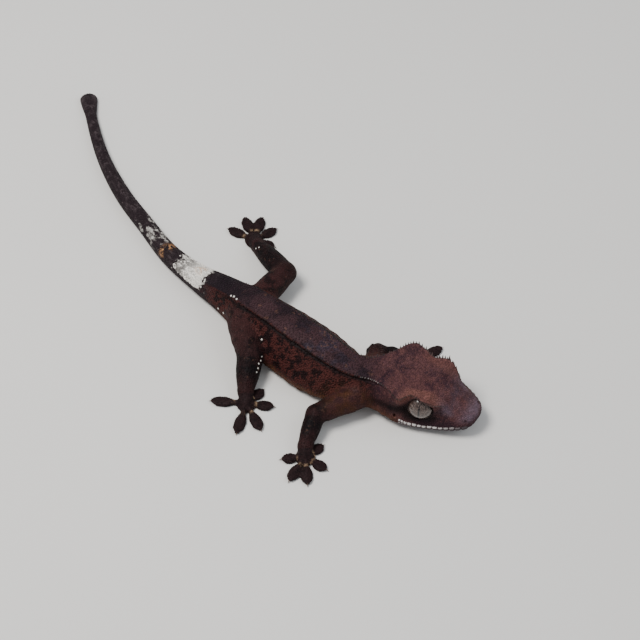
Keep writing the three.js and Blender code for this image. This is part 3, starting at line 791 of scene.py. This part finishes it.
def skinColour(points, single):  # single is 0 to 1 for each scale, the same number over the skin between
    at = markedPlaces(points, single)
    limb = fade(fieldAt(axial, points), *markings["limbFrom"])
    colour = layered(trunkColour(at), headColour(at), fade(at.s, *markings["headFrom"]))
    colour = layered(colour, tailColour(at), fadeOut(at.s, *markings["tailFrom"]))
    colour = layered(colour, limbColour(at), limb)
    low = fadeOut(points[:, 2], 0.25, 0.8) * (1 - limb) * fade(at.s, -10, 0)
    return mixed(colour, "belly", low * 0.6) * (1 + 0.5 * at.grain)[:, None]


def paint(piece, colour):
    layer = piece.data.color_attributes.new("tint", "FLOAT_COLOR", "POINT")
    layer.data.foreach_set("color", np.column_stack([colour, np.ones(len(colour))]).astype(np.float32).ravel())


print("pieces: skin")
skinPiece = pieceOf("skin", "skin_body", fleshPoints, fleshQuads[:, ::-1], fleshTriangles[:, ::-1])
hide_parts(*[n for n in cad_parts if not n.startswith("eye_")])
paint(skinPiece, skinColour(fleshPoints, np.full(len(fleshPoints), 0.42)))

print("pieces: scales")
coat = {
    "headPitch": 0.37,
    "trunkPitch": 0.5,
    "tailPitch": 0.44,
    "limbPitch": 0.42,
    "toePitch": 0.36,
    "proud": 0.11,
    "sunk": 0.07,
    "tries": 330000,
    "cell": 0.62,
    "socket": 2.95,
    "socketDeep": 3.62,
    "limbFrom": 0.6,
    "perPiece": 10800,
}


def spreadOver():  # places for the scales: tried at random over the skin, kept where none is too near
    quads = fleshQuads[:, ::-1].astype(int)
    corners = fleshPoints[quads]
    cross = np.cross(corners[:, 2] - corners[:, 0], corners[:, 3] - corners[:, 1])
    area = np.linalg.norm(cross, axis=1)
    chosen = rng.choice(len(quads), coat["tries"], p=area / area.sum())
    u, v = rng.random((2, coat["tries"], 1))
    c = corners[chosen]
    points = (c[:, 0] * (1 - u) + c[:, 1] * u) * (1 - v) + (c[:, 3] * (1 - u) + c[:, 2] * u) * v
    normals = smoothNormals(quads, cross)[quads[chosen]].mean(1)
    normals /= np.linalg.norm(normals, axis=1, keepdims=True)
    keep = (points[:, 2] > 0.12) | (normals[:, 2] > -0.5)
    for side in sides.values():  # none in the eye sockets
        centre, turn = eyePlace(side)
        local = (points - centre) @ turn
        aside, whole = np.hypot(local[:, 1], local[:, 2]), np.linalg.norm(local, axis=1)
        keep &= ~((aside < coat["socket"]) & (local[:, 0] > 0) & (whole < coat["socketDeep"]))
    points, normals = points[keep], normals[keep]
    s, _, _ = onPath(points)
    away = fieldAt(axial, points)
    along, _ = limbPlace(points)
    tail, trunk, head = coat["tailPitch"], coat["trunkPitch"], coat["headPitch"]
    pitch = np.interp(s, [-82, -14, 2, 40, 50, 72], [tail, tail, trunk, trunk, head, head])
    pitch = np.where(away > coat["limbFrom"], np.where(along > 2.3, coat["toePitch"], coat["limbPitch"]), pitch)
    pitch = pitch * np.clip(1 + 0.16 * clouds(points, 2.5, 6, 1), 0.8, 1.25)
    held, kept = {}, []
    keys = np.floor(points / coat["cell"]).astype(int).tolist()
    spots = points.tolist()
    reach = (pitch * pitch).tolist()
    near = [(i, j, k) for i in (-1, 0, 1) for j in (-1, 0, 1) for k in (-1, 0, 1)]
    for n, (i, j, k) in enumerate(keys):
        x, y, z = spots[n]
        limit, free = reach[n], True
        for di, dj, dk in near:
            for ox, oy, oz in held.get((i + di, j + dj, k + dk), ()):
                if (ox - x) ** 2 + (oy - y) ** 2 + (oz - z) ** 2 < limit:
                    free = False
                    break
            if not free:
                break
        if free:
            held.setdefault((i, j, k), []).append((x, y, z))
            kept.append(n)
    kept = np.array(kept)
    return points[kept], normals[kept], pitch[kept], s[kept], away[kept]


def smoothNormals(quads, cross):
    total = np.zeros((len(fleshPoints), 3))
    for k in range(4):
        for axis in range(3):
            total[:, axis] += np.bincount(quads[:, k], cross[:, axis], len(fleshPoints))
    return total / np.maximum(np.linalg.norm(total, axis=1, keepdims=True), 1e-12)


def unwrap(points):  # the skin laid flat: trunk and head, then the tail, then each leg, in one square
    s, y, z = onPath(points)
    spot = section(np.clip(s, *pathInside))
    middle = (spot[:, 0, 1] + spot[:, 5, 1]) / 2
    over, up = y / np.maximum(spot[:, 3, 0], 0.5), (z - middle) / np.maximum(spot[:, 0, 1] - middle, 0.5)
    turn = np.arctan2(over, up) / (2 * np.pi) + 0.5
    trunk = np.column_stack([(s + 14) / 108, 0.03 + turn * 0.45])
    tail = np.column_stack([(s + 84) / 108 + 0.1, 0.52 + turn * 0.13])
    uv = np.where((s > -10)[:, None], trunk, tail)
    best = np.full(len(points), 1e9)
    onLeg = uv.copy()
    for n, leg in enumerate(legs.values()):
        a, b, c = (np.array(j, float) for j in leg["joints"])
        palm = np.array([*leg["palm"], foot["palmHeight"]])
        for start, end, base in ((a, b, 0.0), (b, c, 0.33), (c, palm, 0.6)):
            step = end - start
            t = np.clip((points - start) @ step / (step @ step), 0, 1)
            off = points - start - t[:, None] * step
            far = np.linalg.norm(off, axis=1)
            over = np.cross([0, 0, 1], step)
            over /= np.linalg.norm(over)
            angle = np.arctan2(off @ over, off[:, 2]) / (2 * np.pi) + 0.5
            spotUv = np.column_stack([0.02 + 0.24 * n + (base + t * 0.3) * 0.2, 0.67 + 0.14 * angle])
            onLeg, best = np.where((far < best)[:, None], spotUv, onLeg), np.minimum(far, best)
        flat = (points - palm)[:, :2]
        footUv = np.column_stack([0.13 + 0.24 * n + flat[:, 0] / 100, 0.91 + flat[:, 1] / 100 * 0.8])
        hit = (np.linalg.norm(flat, axis=1) < 10.5) & (points[:, 2] < foot["toeRoom"])
        onLeg = np.where(hit[:, None], footUv, onLeg)
    uv = np.where((fieldAt(axial, points) > coat["limbFrom"])[:, None], onLeg, uv)
    return np.clip(uv, 0.004, 0.996)


domeSides = 5
perDome = 2 * domeSides + 1


def domes(points, normals, size, high):  # a low five-sided dome for each scale, closed below
    side = np.cross(normals, [0.31, 0.17, 0.93])
    side /= np.linalg.norm(side, axis=1, keepdims=True)
    up = np.cross(normals, side)
    turn = np.linspace(0, 2 * np.pi, domeSides, endpoint=False)[None] + rng.random((len(points), 1)) * 6.28
    ring = side[:, None] * np.cos(turn)[..., None] + up[:, None] * np.sin(turn)[..., None]
    base = points[:, None] + ring * size[:, None, None] - normals[:, None] * coat["sunk"]
    waist = points[:, None] + ring * (size * 0.72)[:, None, None] + (normals * (high * 0.62)[:, None])[:, None]
    tip = (points + normals * high[:, None])[:, None]
    made = np.concatenate([base, waist, tip], 1).reshape(-1, 3)
    k = np.arange(domeSides)
    n = (k + 1) % domeSides
    start = np.arange(len(points))[:, None] * perDome
    quads = np.stack([k, n, n + domeSides, k + domeSides], -1)
    caps = np.stack([k + domeSides, n + domeSides, np.full(domeSides, perDome - 1)], -1)
    return made, (start[..., None] + quads).reshape(-1, 4), (start[..., None] + caps).reshape(-1, 3), start + k[::-1]


def bakeMap(piece, points, roots, perRoot):  # each tuft a small patch at its root's place on the unwrapped skin
    offsets = points - np.repeat(roots, perRoot, axis=0)
    offsets = offsets / np.maximum(np.abs(offsets).max(), 1e-9) * 0.0015
    uv = np.repeat(unwrap(roots), perRoot, axis=0) + offsets[:, :2]
    layer = piece.data.uv_layers.new(name="OFBake")
    vertex = np.empty(len(piece.data.loops), np.int32)
    piece.data.loops.foreach_get("vertex_index", vertex)
    layer.data.foreach_set("uv", uv[vertex].astype(np.float32).ravel())


roots, normals, pitch, s, away = spreadOver()
single = rng.random(len(roots))
colour = skinColour(roots, single)
size = pitch * (0.5 + 0.08 * rng.random(len(roots)))
high = coat["proud"] * (0.75 + 0.5 * rng.random(len(roots)))
for dot in markings["dots"]:
    nearest = np.linalg.norm(roots - dot, axis=1).argmin()
    colour[nearest] = hues["white"]
    size[nearest] *= 1.05
onLimb = away > coat["limbFrom"]
coats = {
    "head_scales": ("skin_head", ~onLimb & (s > 47)),
    "trunk_scales": ("skin_body", ~onLimb & (s <= 47) & (s > -10)),
    "tail_scales": ("skin_tail", ~onLimb & (s <= -10)),
    "limb_scales": ("skin_body", onLimb),
}
scalePieces = []
for name, (slotName, here) in coats.items():
    chosen = np.flatnonzero(here)
    if name == "trunk_scales":
        chosen = chosen[np.argsort(s[chosen])]
    parts = max(1, math.ceil(len(chosen) / coat["perPiece"]))
    for n, share in enumerate(np.array_split(chosen, parts)):
        made, *groups = domes(roots[share], normals[share], size[share], high[share])
        piece = pieceOf(f"{name}_{n + 1}", slotName, made, *groups)
        paint(piece, np.repeat(colour[share], perDome, axis=0))
        bakeMap(piece, made, roots[share], perDome)
        scalePieces.append(piece)
        print("scales:", piece.name, len(share))

print("pieces: eyes")


def ball(rings, count):  # a sphere whose pole looks out of the head
    tilt = np.linspace(0, np.pi, rings + 1)[1:-1, None]
    turn = np.linspace(0, 2 * np.pi, count, endpoint=False)
    grid = np.stack([np.cos(tilt) + 0 * turn, np.sin(tilt) * np.cos(turn), np.sin(tilt) * np.sin(turn)], -1)
    return np.vstack([grid.reshape(-1, 3), [1, 0, 0], [-1, 0, 0]]), closedLoft(grid)[1:]


eyePieces = []
unit, faces = ball(64, 96)
for sideName, side in sides.items():
    centre, turn = eyePlace(side)
    piece = pieceOf("eyeball_" + sideName, "eye", (unit * eye["radii"]) @ turn.T + centre, *faces)
    spot = piece.data.attributes.new("eyeSpot", "FLOAT_VECTOR", "POINT")
    spot.data.foreach_set("vector", (unit * [1, side, 1]).astype(np.float32).ravel())
    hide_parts("eye_" + sideName)
    eyePieces.append(piece)

print("pieces: lids")
lids = {
    "count": 52,
    "out": 1.3,
    "radius": 2.93,
    "size": 0.24,
    "high": 0.2,
}
beadSpots, beadNormals = [], []
for side in sides.values():
    centre, turn = eyePlace(side)
    angle = np.linspace(0, 2 * np.pi, lids["count"], endpoint=False)
    ring = np.column_stack([0 * angle, eye["stretch"] * np.cos(angle), np.sin(angle)])
    beadSpots.append(centre + (ring * lids["radius"] + [lids["out"], 0, 0]) @ turn.T)
    beadNormals.append((ring * -0.45 + [0.9, 0, 0]) @ turn.T)
beadSpots, beadNormals = np.vstack(beadSpots), np.vstack(beadNormals)
beadNormals /= np.linalg.norm(beadNormals, axis=1, keepdims=True)
count = len(beadSpots)
high = lids["high"] * (0.8 + 0.4 * rng.random(count))
made, *groups = domes(beadSpots, beadNormals, np.full(count, lids["size"]), high)
lidPiece = pieceOf("lid_beads", "skin_head", made, *groups)
upper = np.tile(fade(np.sin(angle), 0.1, 0.8), 2)[:, None]
tint = np.array(hues["cheek"]) * (1 - upper) * 1.6 + np.array(hues["crown"]) * upper * 0.55
paint(lidPiece, np.repeat(tint, perDome, axis=0))
bakeMap(lidPiece, made, beadSpots, perDome)

print("pieces: lips")
lips = {
    "from": 54.6,
    "to": 71.2,
    "pitch": 1.22,
    "high": 0.44,
    "proud": 0.27,
    "sunk": 0.35,
}


def lipScales():  # one row of plates above the mouth and one below it, on each side
    points, tints = [], []
    across, up = 9, 7
    t, w = np.meshgrid(np.linspace(-1, 1, across), np.linspace(-1, 1, up), indexing="ij")
    swell = np.clip(1 - np.abs(t) ** 4, 0, 1) * np.clip(1 - np.abs(w) ** 3, 0, 1)
    for side in sides.values():
        for row in (1, -1):
            for i, s0 in enumerate(np.arange(lips["from"], lips["to"], lips["pitch"])):
                tall = lips["high"] * (1 if row > 0 else 0.8) * (0.88 + 0.12 * math.sin(i * 1.9))
                sAt = s0 + t * lips["pitch"] * 0.495
                zAt = profile(mouth["line"], sAt) + row * (tall + 0.1) + w * tall
                half, low, top = (profile(body[k], sAt) for k in ("halfWidth", "belly", "back"))
                wide = low + (top - low) * profile(body["widest"], sAt)
                under = 1 - 0.2 * ((wide - zAt) / np.maximum(wide - low, 1)) ** 2
                shape = np.where(zAt > wide, 1 - 0.15 * ((zAt - wide) / 3) ** 2, under)
                yAt = half * shape - lips["sunk"] + (lips["proud"] + lips["sunk"]) * swell**0.6
                points.append(beside(sAt, side * yAt, zAt).reshape(-1, 3))
                white = fade(71.5 - s0, 0, 9) if row > 0 else 0.08 + 0.3 * fade(58.5 - s0, -1, 3)
                tint = np.array(hues["lip"]) * white + np.array(hues["crownDark"]) * (1 - white)
                rim = (1 - swell.reshape(-1, 1)) ** 4
                tints.append(tint * (1 - 0.45 * rim) * (0.8 + 0.25 * rng.random()))
    count = len(points)
    i, k = np.meshgrid(np.arange(across - 1), np.arange(up - 1), indexing="ij")
    quad = np.stack([i * up + k, (i + 1) * up + k, (i + 1) * up + k + 1, i * up + k + 1], -1).reshape(-1, 4)
    quads = np.concatenate([quad + n * across * up for n in range(count)])
    last, corner = across * up - 1, (across - 1) * up
    edge = [*range(up - 1), *range(up - 1, last, up), *range(last, corner, -1), *range(corner, 0, -up)]
    backs = np.array([edge]) + np.arange(count)[:, None] * across * up  # a face in the skin closes each plate
    for faces in (quads, backs):  # the left side's plates face the other way
        faces[: len(faces) // 2] = faces[: len(faces) // 2, ::-1]
    return np.vstack(points), (quads, backs), np.vstack(tints), across * up


made, groups, tints, per = lipScales()
lipPiece = pieceOf("lip_plates", "skin_head", made, *groups)
paint(lipPiece, tints)
bakeMap(lipPiece, made, made.reshape(-1, per, 3).mean(1), per)

print("pieces: claws and spines")


def cones(roots, tips, radii, corners, rows, curl):  # slim cones, bent more and more towards the tip
    roots, tips, radii, curl = (np.asarray(v, float) for v in (roots, tips, radii, curl))
    along = tips - roots
    length = np.linalg.norm(along, axis=1, keepdims=True)
    along = along / length
    side = np.cross(along, [0.13, 0.21, 0.97])
    side /= np.linalg.norm(side, axis=1, keepdims=True)
    up = np.cross(side, along)
    turn = np.linspace(0, 2 * np.pi, corners, endpoint=False)[None, :, None]
    ring = side[:, None] * np.cos(turn) + up[:, None] * np.sin(turn)
    layers = []
    for r in range(rows):
        t = r / rows
        middle = roots + along * length * t + curl * t * t
        layers.append(middle[:, None] + (radii * (1 - t) ** 0.85)[:, None, None] * ring)
    points = np.concatenate([*layers, (tips + curl)[:, None]], 1)
    per, top = rows * corners + 1, (rows - 1) * corners
    k = np.arange(corners)
    n = (k + 1) % corners
    quad = np.concatenate([np.stack([k, n, n + corners, k + corners], -1) + r * corners for r in range(rows - 1)])
    cap = np.stack([k + top, n + top, np.full(corners, per - 1)], -1)
    start = np.arange(len(roots))[:, None] * per
    quads, caps = (start[..., None] + quad).reshape(-1, 4), (start[..., None] + cap).reshape(-1, 3)
    return points.reshape(-1, 3), per, (quads, caps, start + k[::-1])


clawRoots, clawTips = [], []
for leg in legs.values():
    for degrees, reach in leg["toes"]:
        forward, _ = toeAxes(degrees)
        start = np.array([*leg["palm"], foot["clawHeight"]]) + forward * (reach * 0.93)
        clawRoots.append(start)
        clawTips.append(start + forward * foot["clawLength"] + [0, 0, -0.08])
count = len(clawRoots)
points, per, groups = cones(
    clawRoots, clawTips, [foot["clawRadius"]] * count, corners=7, rows=5, curl=[[0, 0, -foot["clawBend"]]] * count)
clawPiece = pieceOf("claws", "skin_body", np.maximum(points, [-1e9, -1e9, 0.02]), *groups)

crestRows = [
    {"from": 58.3, "to": 65.3, "pitch": 0.44, "length": 0.85, "out": 0.85, "up": 0.55, "curl": -0.3},
    {"from": 50.4, "to": 57.6, "pitch": 0.48, "length": 0.8, "out": 0.8, "up": 0.6, "curl": -0.2},
    {"from": 43.2, "to": 50.1, "pitch": 0.5, "length": 0.7, "out": 0.8, "up": 0.6, "curl": -0.15},
    {"from": 30, "to": 43.0, "pitch": 0.5, "length": 0.6, "out": 0.75, "up": 0.75, "curl": -0.1},
    {"from": 5, "to": 29.9, "pitch": 0.5, "length": 0.4, "out": 0.85, "up": 0.5, "curl": -0.1},
]
spineRoots, spineTips, radii, curls, tipWhite = [], [], [], [], []
for side in sides.values():
    for row in crestRows:
        for i, s0 in enumerate(np.arange(row["from"], row["to"], row["pitch"])):
            s0 = s0 + rng.uniform(-0.12, 0.12)
            y0, z0 = section(np.array([s0]))[0, 1]
            root = beside(s0, side * (y0 + 0.1), z0)
            outward = row["out"] + rng.uniform(-0.15, 0.15)
            direction = beside(s0, side * outward, row["up"] + rng.uniform(-0.2, 0.2)) - beside(s0, 0, 0)
            direction /= np.linalg.norm(direction)
            reach = row["length"] * (1 + 0.25 * math.sin(i * 2.4) + rng.uniform(-0.3, 0.15))
            spineRoots.append(root - direction * 0.25)
            spineTips.append(root + direction * reach)
            radii.append(0.13 + 0.22 * row["length"])
            curls.append(headingMatrix(s0)[:, 0] * row["curl"])
            tipWhite.append((side < 0) * float(bell(s0 - 46, 2.2)) * rng.random())
corners, rows = 6, 4
points, per, groups = cones(spineRoots, spineTips, radii, corners, rows, curls)
crestPiece = pieceOf("crest_spines", "skin_head", points, *groups)
spineRoots = np.array(spineRoots)
base = np.repeat(skinColour(spineRoots, rng.random(len(spineRoots))) * 0.4, per, axis=0)
atTip = np.tile(np.concatenate([np.repeat(np.arange(rows) / rows, corners), [1]]), len(spineRoots)) ** 1.5
pale = (atTip * (0.04 + 0.96 * np.repeat(tipWhite, per)))[:, None]
paint(crestPiece, base * (1 - pale) + np.array(hues["lip"]) * pale)
bakeMap(crestPiece, points, spineRoots, per)

print("materials")


def group(name, inputs, outputs):
    tree = bpy.data.node_groups.new(name, "ShaderNodeTree")
    for label, kind, value in inputs:
        socket = tree.interface.new_socket(label, in_out="INPUT", socket_type=kind)
        socket.default_value = value
    for label, kind in outputs:
        tree.interface.new_socket(label, in_out="OUTPUT", socket_type=kind)
    return tree, tree.nodes.new("NodeGroupInput"), tree.nodes.new("NodeGroupOutput")


def node(tree, kind, links=(), **settings):
    made = tree.nodes.new("ShaderNode" + kind)
    for key, value in settings.items():
        setattr(made, key, value)
    for socket, value in dict(links).items():
        target = made.inputs[socket]
        if hasattr(value, "is_output"):
            tree.links.new(value, target)
        else:
            target.default_value = value
    return made


def mathNode(tree, operation, *values):
    return node(tree, "Math", dict(enumerate(values)), operation=operation).outputs[0]


def mapped(tree, value, low, high, first=0.0, last=1.0):
    ends = {"From Min": low, "From Max": high, "To Min": first, "To Max": last}
    return node(tree, "MapRange", {"Value": value, **ends}).outputs[0]


def blended(tree, share, a, b):
    return node(tree, "Mix", {"Factor": share, "A": a, "B": b}, data_type="RGBA").outputs["Result"]


def newMaterial(name):
    material = bpy.data.materials.new(name)
    material.use_nodes = True
    return material, material.node_tree, material.node_tree.nodes["Principled BSDF"].inputs


def grainGroup():  # fine speckle, soft patches and a bump height for reptile skin, in object millimetres
    values = {"Speckle Size": 0.25, "Patch Size": 3.0, "Speckle": 0.35, "Patch": 0.2}
    inputs = [(label, "NodeSocketFloat", value) for label, value in values.items()]
    tree, inside, outside = group(
        "skinGrain", [*inputs, ("Tint", "NodeSocketColor", (1, 1, 1, 1))],
        [("Color", "NodeSocketColor"), ("Height", "NodeSocketFloat"), ("Roughness", "NodeSocketFloat")],
    )
    given = inside.outputs
    spot = node(tree, "TexCoord").outputs["Object"]
    fineScale = mathNode(tree, "DIVIDE", 1000.0, given["Speckle Size"])
    wideScale = mathNode(tree, "DIVIDE", 1000.0, given["Patch Size"])
    cells = node(tree, "TexVoronoi", {"Vector": spot, "Scale": fineScale}, feature="F1").outputs
    wide = node(tree, "TexNoise", {"Vector": spot, "Scale": wideScale, "Detail": 4.0}).outputs["Fac"]
    tone = node(tree, "SeparateColor", {0: cells["Color"]}).outputs[0]
    fine = mathNode(tree, "MULTIPLY", mathNode(tree, "SUBTRACT", tone, 0.5), given["Speckle"])
    soft = mathNode(tree, "MULTIPLY", mathNode(tree, "SUBTRACT", wide, 0.5), given["Patch"])
    total = mathNode(tree, "ADD", mathNode(tree, "ADD", fine, soft), 1.0)
    colour = node(tree, "VectorMath", {0: given["Tint"], "Scale": total}, operation="SCALE").outputs[0]
    tree.links.new(colour, outside.inputs["Color"])
    tree.links.new(mapped(tree, cells["Distance"], 0.0, 0.6, 1.0, 0.0), outside.inputs["Height"])
    tree.links.new(mapped(tree, wide, 0.3, 0.7, 0.5, 0.66), outside.inputs["Roughness"])
    return tree


skinGrain = grainGroup()


def skinMaterial(name, speckle, patch, bump, level, sizes):
    material, tree, shader = newMaterial(name)
    tint = node(tree, "Attribute", attribute_name="tint")
    placed = tree.nodes.new("ShaderNodeGroup")
    placed.node_tree = skinGrain
    for label, value in zip(("Speckle Size", "Patch Size", "Speckle", "Patch"), (*sizes, speckle, patch)):
        placed.inputs[label].default_value = value
    tree.links.new(tint.outputs["Color"], placed.inputs["Tint"])
    tree.links.new(placed.outputs["Color"], shader["Base Color"])
    tree.links.new(placed.outputs["Roughness"], shader["Roughness"])
    raised = node(tree, "Bump", {"Strength": bump, "Distance": 0.00005, "Height": placed.outputs["Height"]})
    tree.links.new(raised.outputs[0], shader["Normal"])
    shader["Specular IOR Level"].default_value = level
    return material


def rampMaterial(name, scale, detail, first, last, roughness):  # soft patches between two colours
    material, tree, shader = newMaterial(name)
    spot = node(tree, "TexCoord").outputs["Object"]
    patches = node(tree, "TexNoise", {"Vector": spot, "Scale": scale, "Detail": detail})
    ramp = node(tree, "ValToRGB", {"Fac": patches.outputs["Fac"]})
    for stop, colour in zip(ramp.color_ramp.elements, (first, last)):
        stop.color = (*colour, 1)
    tree.links.new(ramp.outputs["Color"], shader["Base Color"])
    shader["Roughness"].default_value = roughness
    return material


finishes = {  # speckle, patch, bump and specular level, and the sizes of speckle and patch
    "gecko skin": (0.6, 0.3, 0.5, 0.1, (0.22, 3.0)),
    "skin scales": (0.35, 0.25, 0.15, 0.15, (0.3, 2.0)),
    "lip plates": (0.12, 0.2, 0.1, 0.5, (0.4, 1.5)),
    "crest spines": (0.3, 0.2, 0.2, 0.25, (0.2, 1.0)),
}
skinFinish, scaleFinish, lipFinish, spineFinish = (skinMaterial(n, *values) for n, values in finishes.items())
clawFinish = rampMaterial("claw horn", 1500.0, 3.0, (0.02, 0.012, 0.01), (0.16, 0.1, 0.07), 0.3)

iris = {
    "rim": (0.02, 0.012, 0.01, 1),
    "ground": (0.085, 0.052, 0.045, 1),
    "light": (0.25, 0.19, 0.165, 1),
    "vein": (0.012, 0.005, 0.004, 1),
    "veinWidth": (0.02, 0.24),
    "rays": (7.0, 7.0, 2.6),
    "pupil": (0.003, 0.002, 0.002, 1),
    "slit": 0.055,
    "slitHigh": 0.72,
    "slitWaves": (26.0, 0.012),  # how close and how deep
    "slitEdge": (-0.012, 0.008),
    "edge": 0.8,
}


def eyeMaterial():
    material, tree, shader = newMaterial("gecko eye")
    spot = node(tree, "Attribute", attribute_name="eyeSpot").outputs["Vector"]
    _, ahead, up = node(tree, "SeparateXYZ", {0: spot}).outputs
    angle = mathNode(tree, "ARCTAN2", up, ahead)
    flat = node(tree, "CombineXYZ", {"X": 0.0, "Y": ahead, "Z": up}).outputs[0]
    radius = node(tree, "VectorMath", {0: flat}, operation="LENGTH").outputs["Value"]
    cosine, sine = mathNode(tree, "COSINE", angle), mathNode(tree, "SINE", angle)
    ray = node(tree, "CombineXYZ", {"X": cosine, "Y": sine, "Z": radius}).outputs[0]
    stretched = node(tree, "VectorMath", {0: ray, 1: iris["rays"]}, operation="MULTIPLY").outputs[0]
    wobble = node(tree, "TexNoise", {"Vector": spot, "Scale": 7.0, "Detail": 3.0}).outputs["Color"]
    bent = node(tree, "VectorMath", {0: stretched, 1: wobble}, operation="ADD").outputs[0]
    veins = node(tree, "TexNoise", {"Vector": bent, "Scale": 1.6, "Detail": 5.0, "Roughness": 0.65}).outputs["Fac"]
    lines = node(tree, "TexVoronoi", {"Vector": bent, "Scale": 1.5}, feature="DISTANCE_TO_EDGE").outputs["Distance"]
    colour = blended(tree, veins, iris["ground"], iris["light"])
    colour = blended(tree, mapped(tree, lines, *iris["veinWidth"], 1.0, 0.0), colour, iris["vein"])
    colour = blended(tree, mapped(tree, radius, iris["edge"] - 0.1, iris["edge"] + 0.08), colour, iris["rim"])
    close, deep = iris["slitWaves"]
    waves = mathNode(tree, "SINE", mathNode(tree, "MULTIPLY", up, close))
    waves = mathNode(tree, "MULTIPLY_ADD", waves, deep, iris["slit"])
    taper = mapped(tree, mathNode(tree, "ABSOLUTE", up), iris["slitHigh"] * 0.5, iris["slitHigh"], 1.0, 0.0)
    width = mathNode(tree, "MULTIPLY", waves, taper)
    inSlit = mathNode(tree, "SUBTRACT", width, mathNode(tree, "ABSOLUTE", ahead))
    colour = blended(tree, mapped(tree, inSlit, *iris["slitEdge"]), colour, iris["pupil"])
    tree.links.new(colour, shader["Base Color"])
    shader["Roughness"].default_value = 0.25
    shader["Specular IOR Level"].default_value = 0.1
    shader["Coat Weight"].default_value = 1.0
    shader["Coat Roughness"].default_value = 0.02
    return material


eyeFinish = eyeMaterial()


def dress(piece, material):
    piece.data.materials.clear()
    piece.data.materials.append(material)


dress(skinPiece, skinFinish)
for piece in scalePieces:
    dress(piece, scaleFinish)
for piece in eyePieces:
    dress(piece, eyeFinish)
dress(lidPiece, spineFinish)
dress(lipPiece, lipFinish)
dress(crestPiece, spineFinish)
dress(clawPiece, clawFinish)
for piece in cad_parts.values():
    if not piece.hide_render:
        dress(piece, skinFinish)

print("stage")
camera = {"target": (0.023823, 0.011417, 0), "azimuth": 41, "elevation": 51, "distance": 0.515, "lens": 120}
cameraData = bpy.data.cameras.new("camera")
cameraData.lens = camera["lens"]
cameraData.sensor_width = 36
cameraPiece = bpy.data.objects.new("camera", cameraData)
bpy.context.collection.objects.link(cameraPiece)
bpy.context.scene.camera = cameraPiece
a, e = math.radians(camera["azimuth"]), math.radians(camera["elevation"])
back = Vector((math.sin(a) * math.cos(e), -math.cos(a) * math.cos(e), math.sin(e)))
cameraPiece.rotation_mode = "QUATERNION"
cameraPiece.location = Vector(camera["target"]) + back * camera["distance"]
cameraPiece.rotation_quaternion = (-back).to_track_quat("-Z", "Y")
cameraData.clip_start = 0.01
cameraData.clip_end = 20

floorMesh = bpy.data.meshes.new("floor")
floorMesh.from_pydata([(-3, -3, 0), (3, -3, 0), (3, 3, 0), (-3, 3, 0)], [], [(0, 1, 2, 3)])
floorPiece = bpy.data.objects.new("floor", floorMesh)
bpy.context.collection.objects.link(floorPiece)
dress(floorPiece, rampMaterial("studio floor", 9.0, 2.0, (0.74, 0.73, 0.71), (0.8, 0.79, 0.77), 0.85))

world = bpy.data.worlds.new("room")
world.use_nodes = True
world.node_tree.nodes["Background"].inputs["Color"].default_value = (0.88, 0.9, 0.93, 1)
world.node_tree.nodes["Background"].inputs["Strength"].default_value = 0.5
bpy.context.scene.world = world


def areaLight(name, at, size, power, colour):
    data = bpy.data.lights.new(name, "AREA")
    data.size = size
    data.energy = power
    data.color = colour
    lamp = bpy.data.objects.new(name, data)
    lamp.location = at
    lamp.rotation_mode = "QUATERNION"
    lamp.rotation_quaternion = (lightsAim - Vector(at)).to_track_quat("-Z", "Y")
    bpy.context.collection.objects.link(lamp)


lights = {  # place, size, power and colour
    "key": ((-0.12, -0.16, 0.5), 0.2, 3.0, (1, 0.97, 0.93)),
    "fill": ((0.4, 0.25, 0.4), 0.4, 0.8, (0.88, 0.94, 1)),
}
lightsAim = Vector((0.02, 0.01, 0))
for name, values in lights.items():
    areaLight(name, *values)
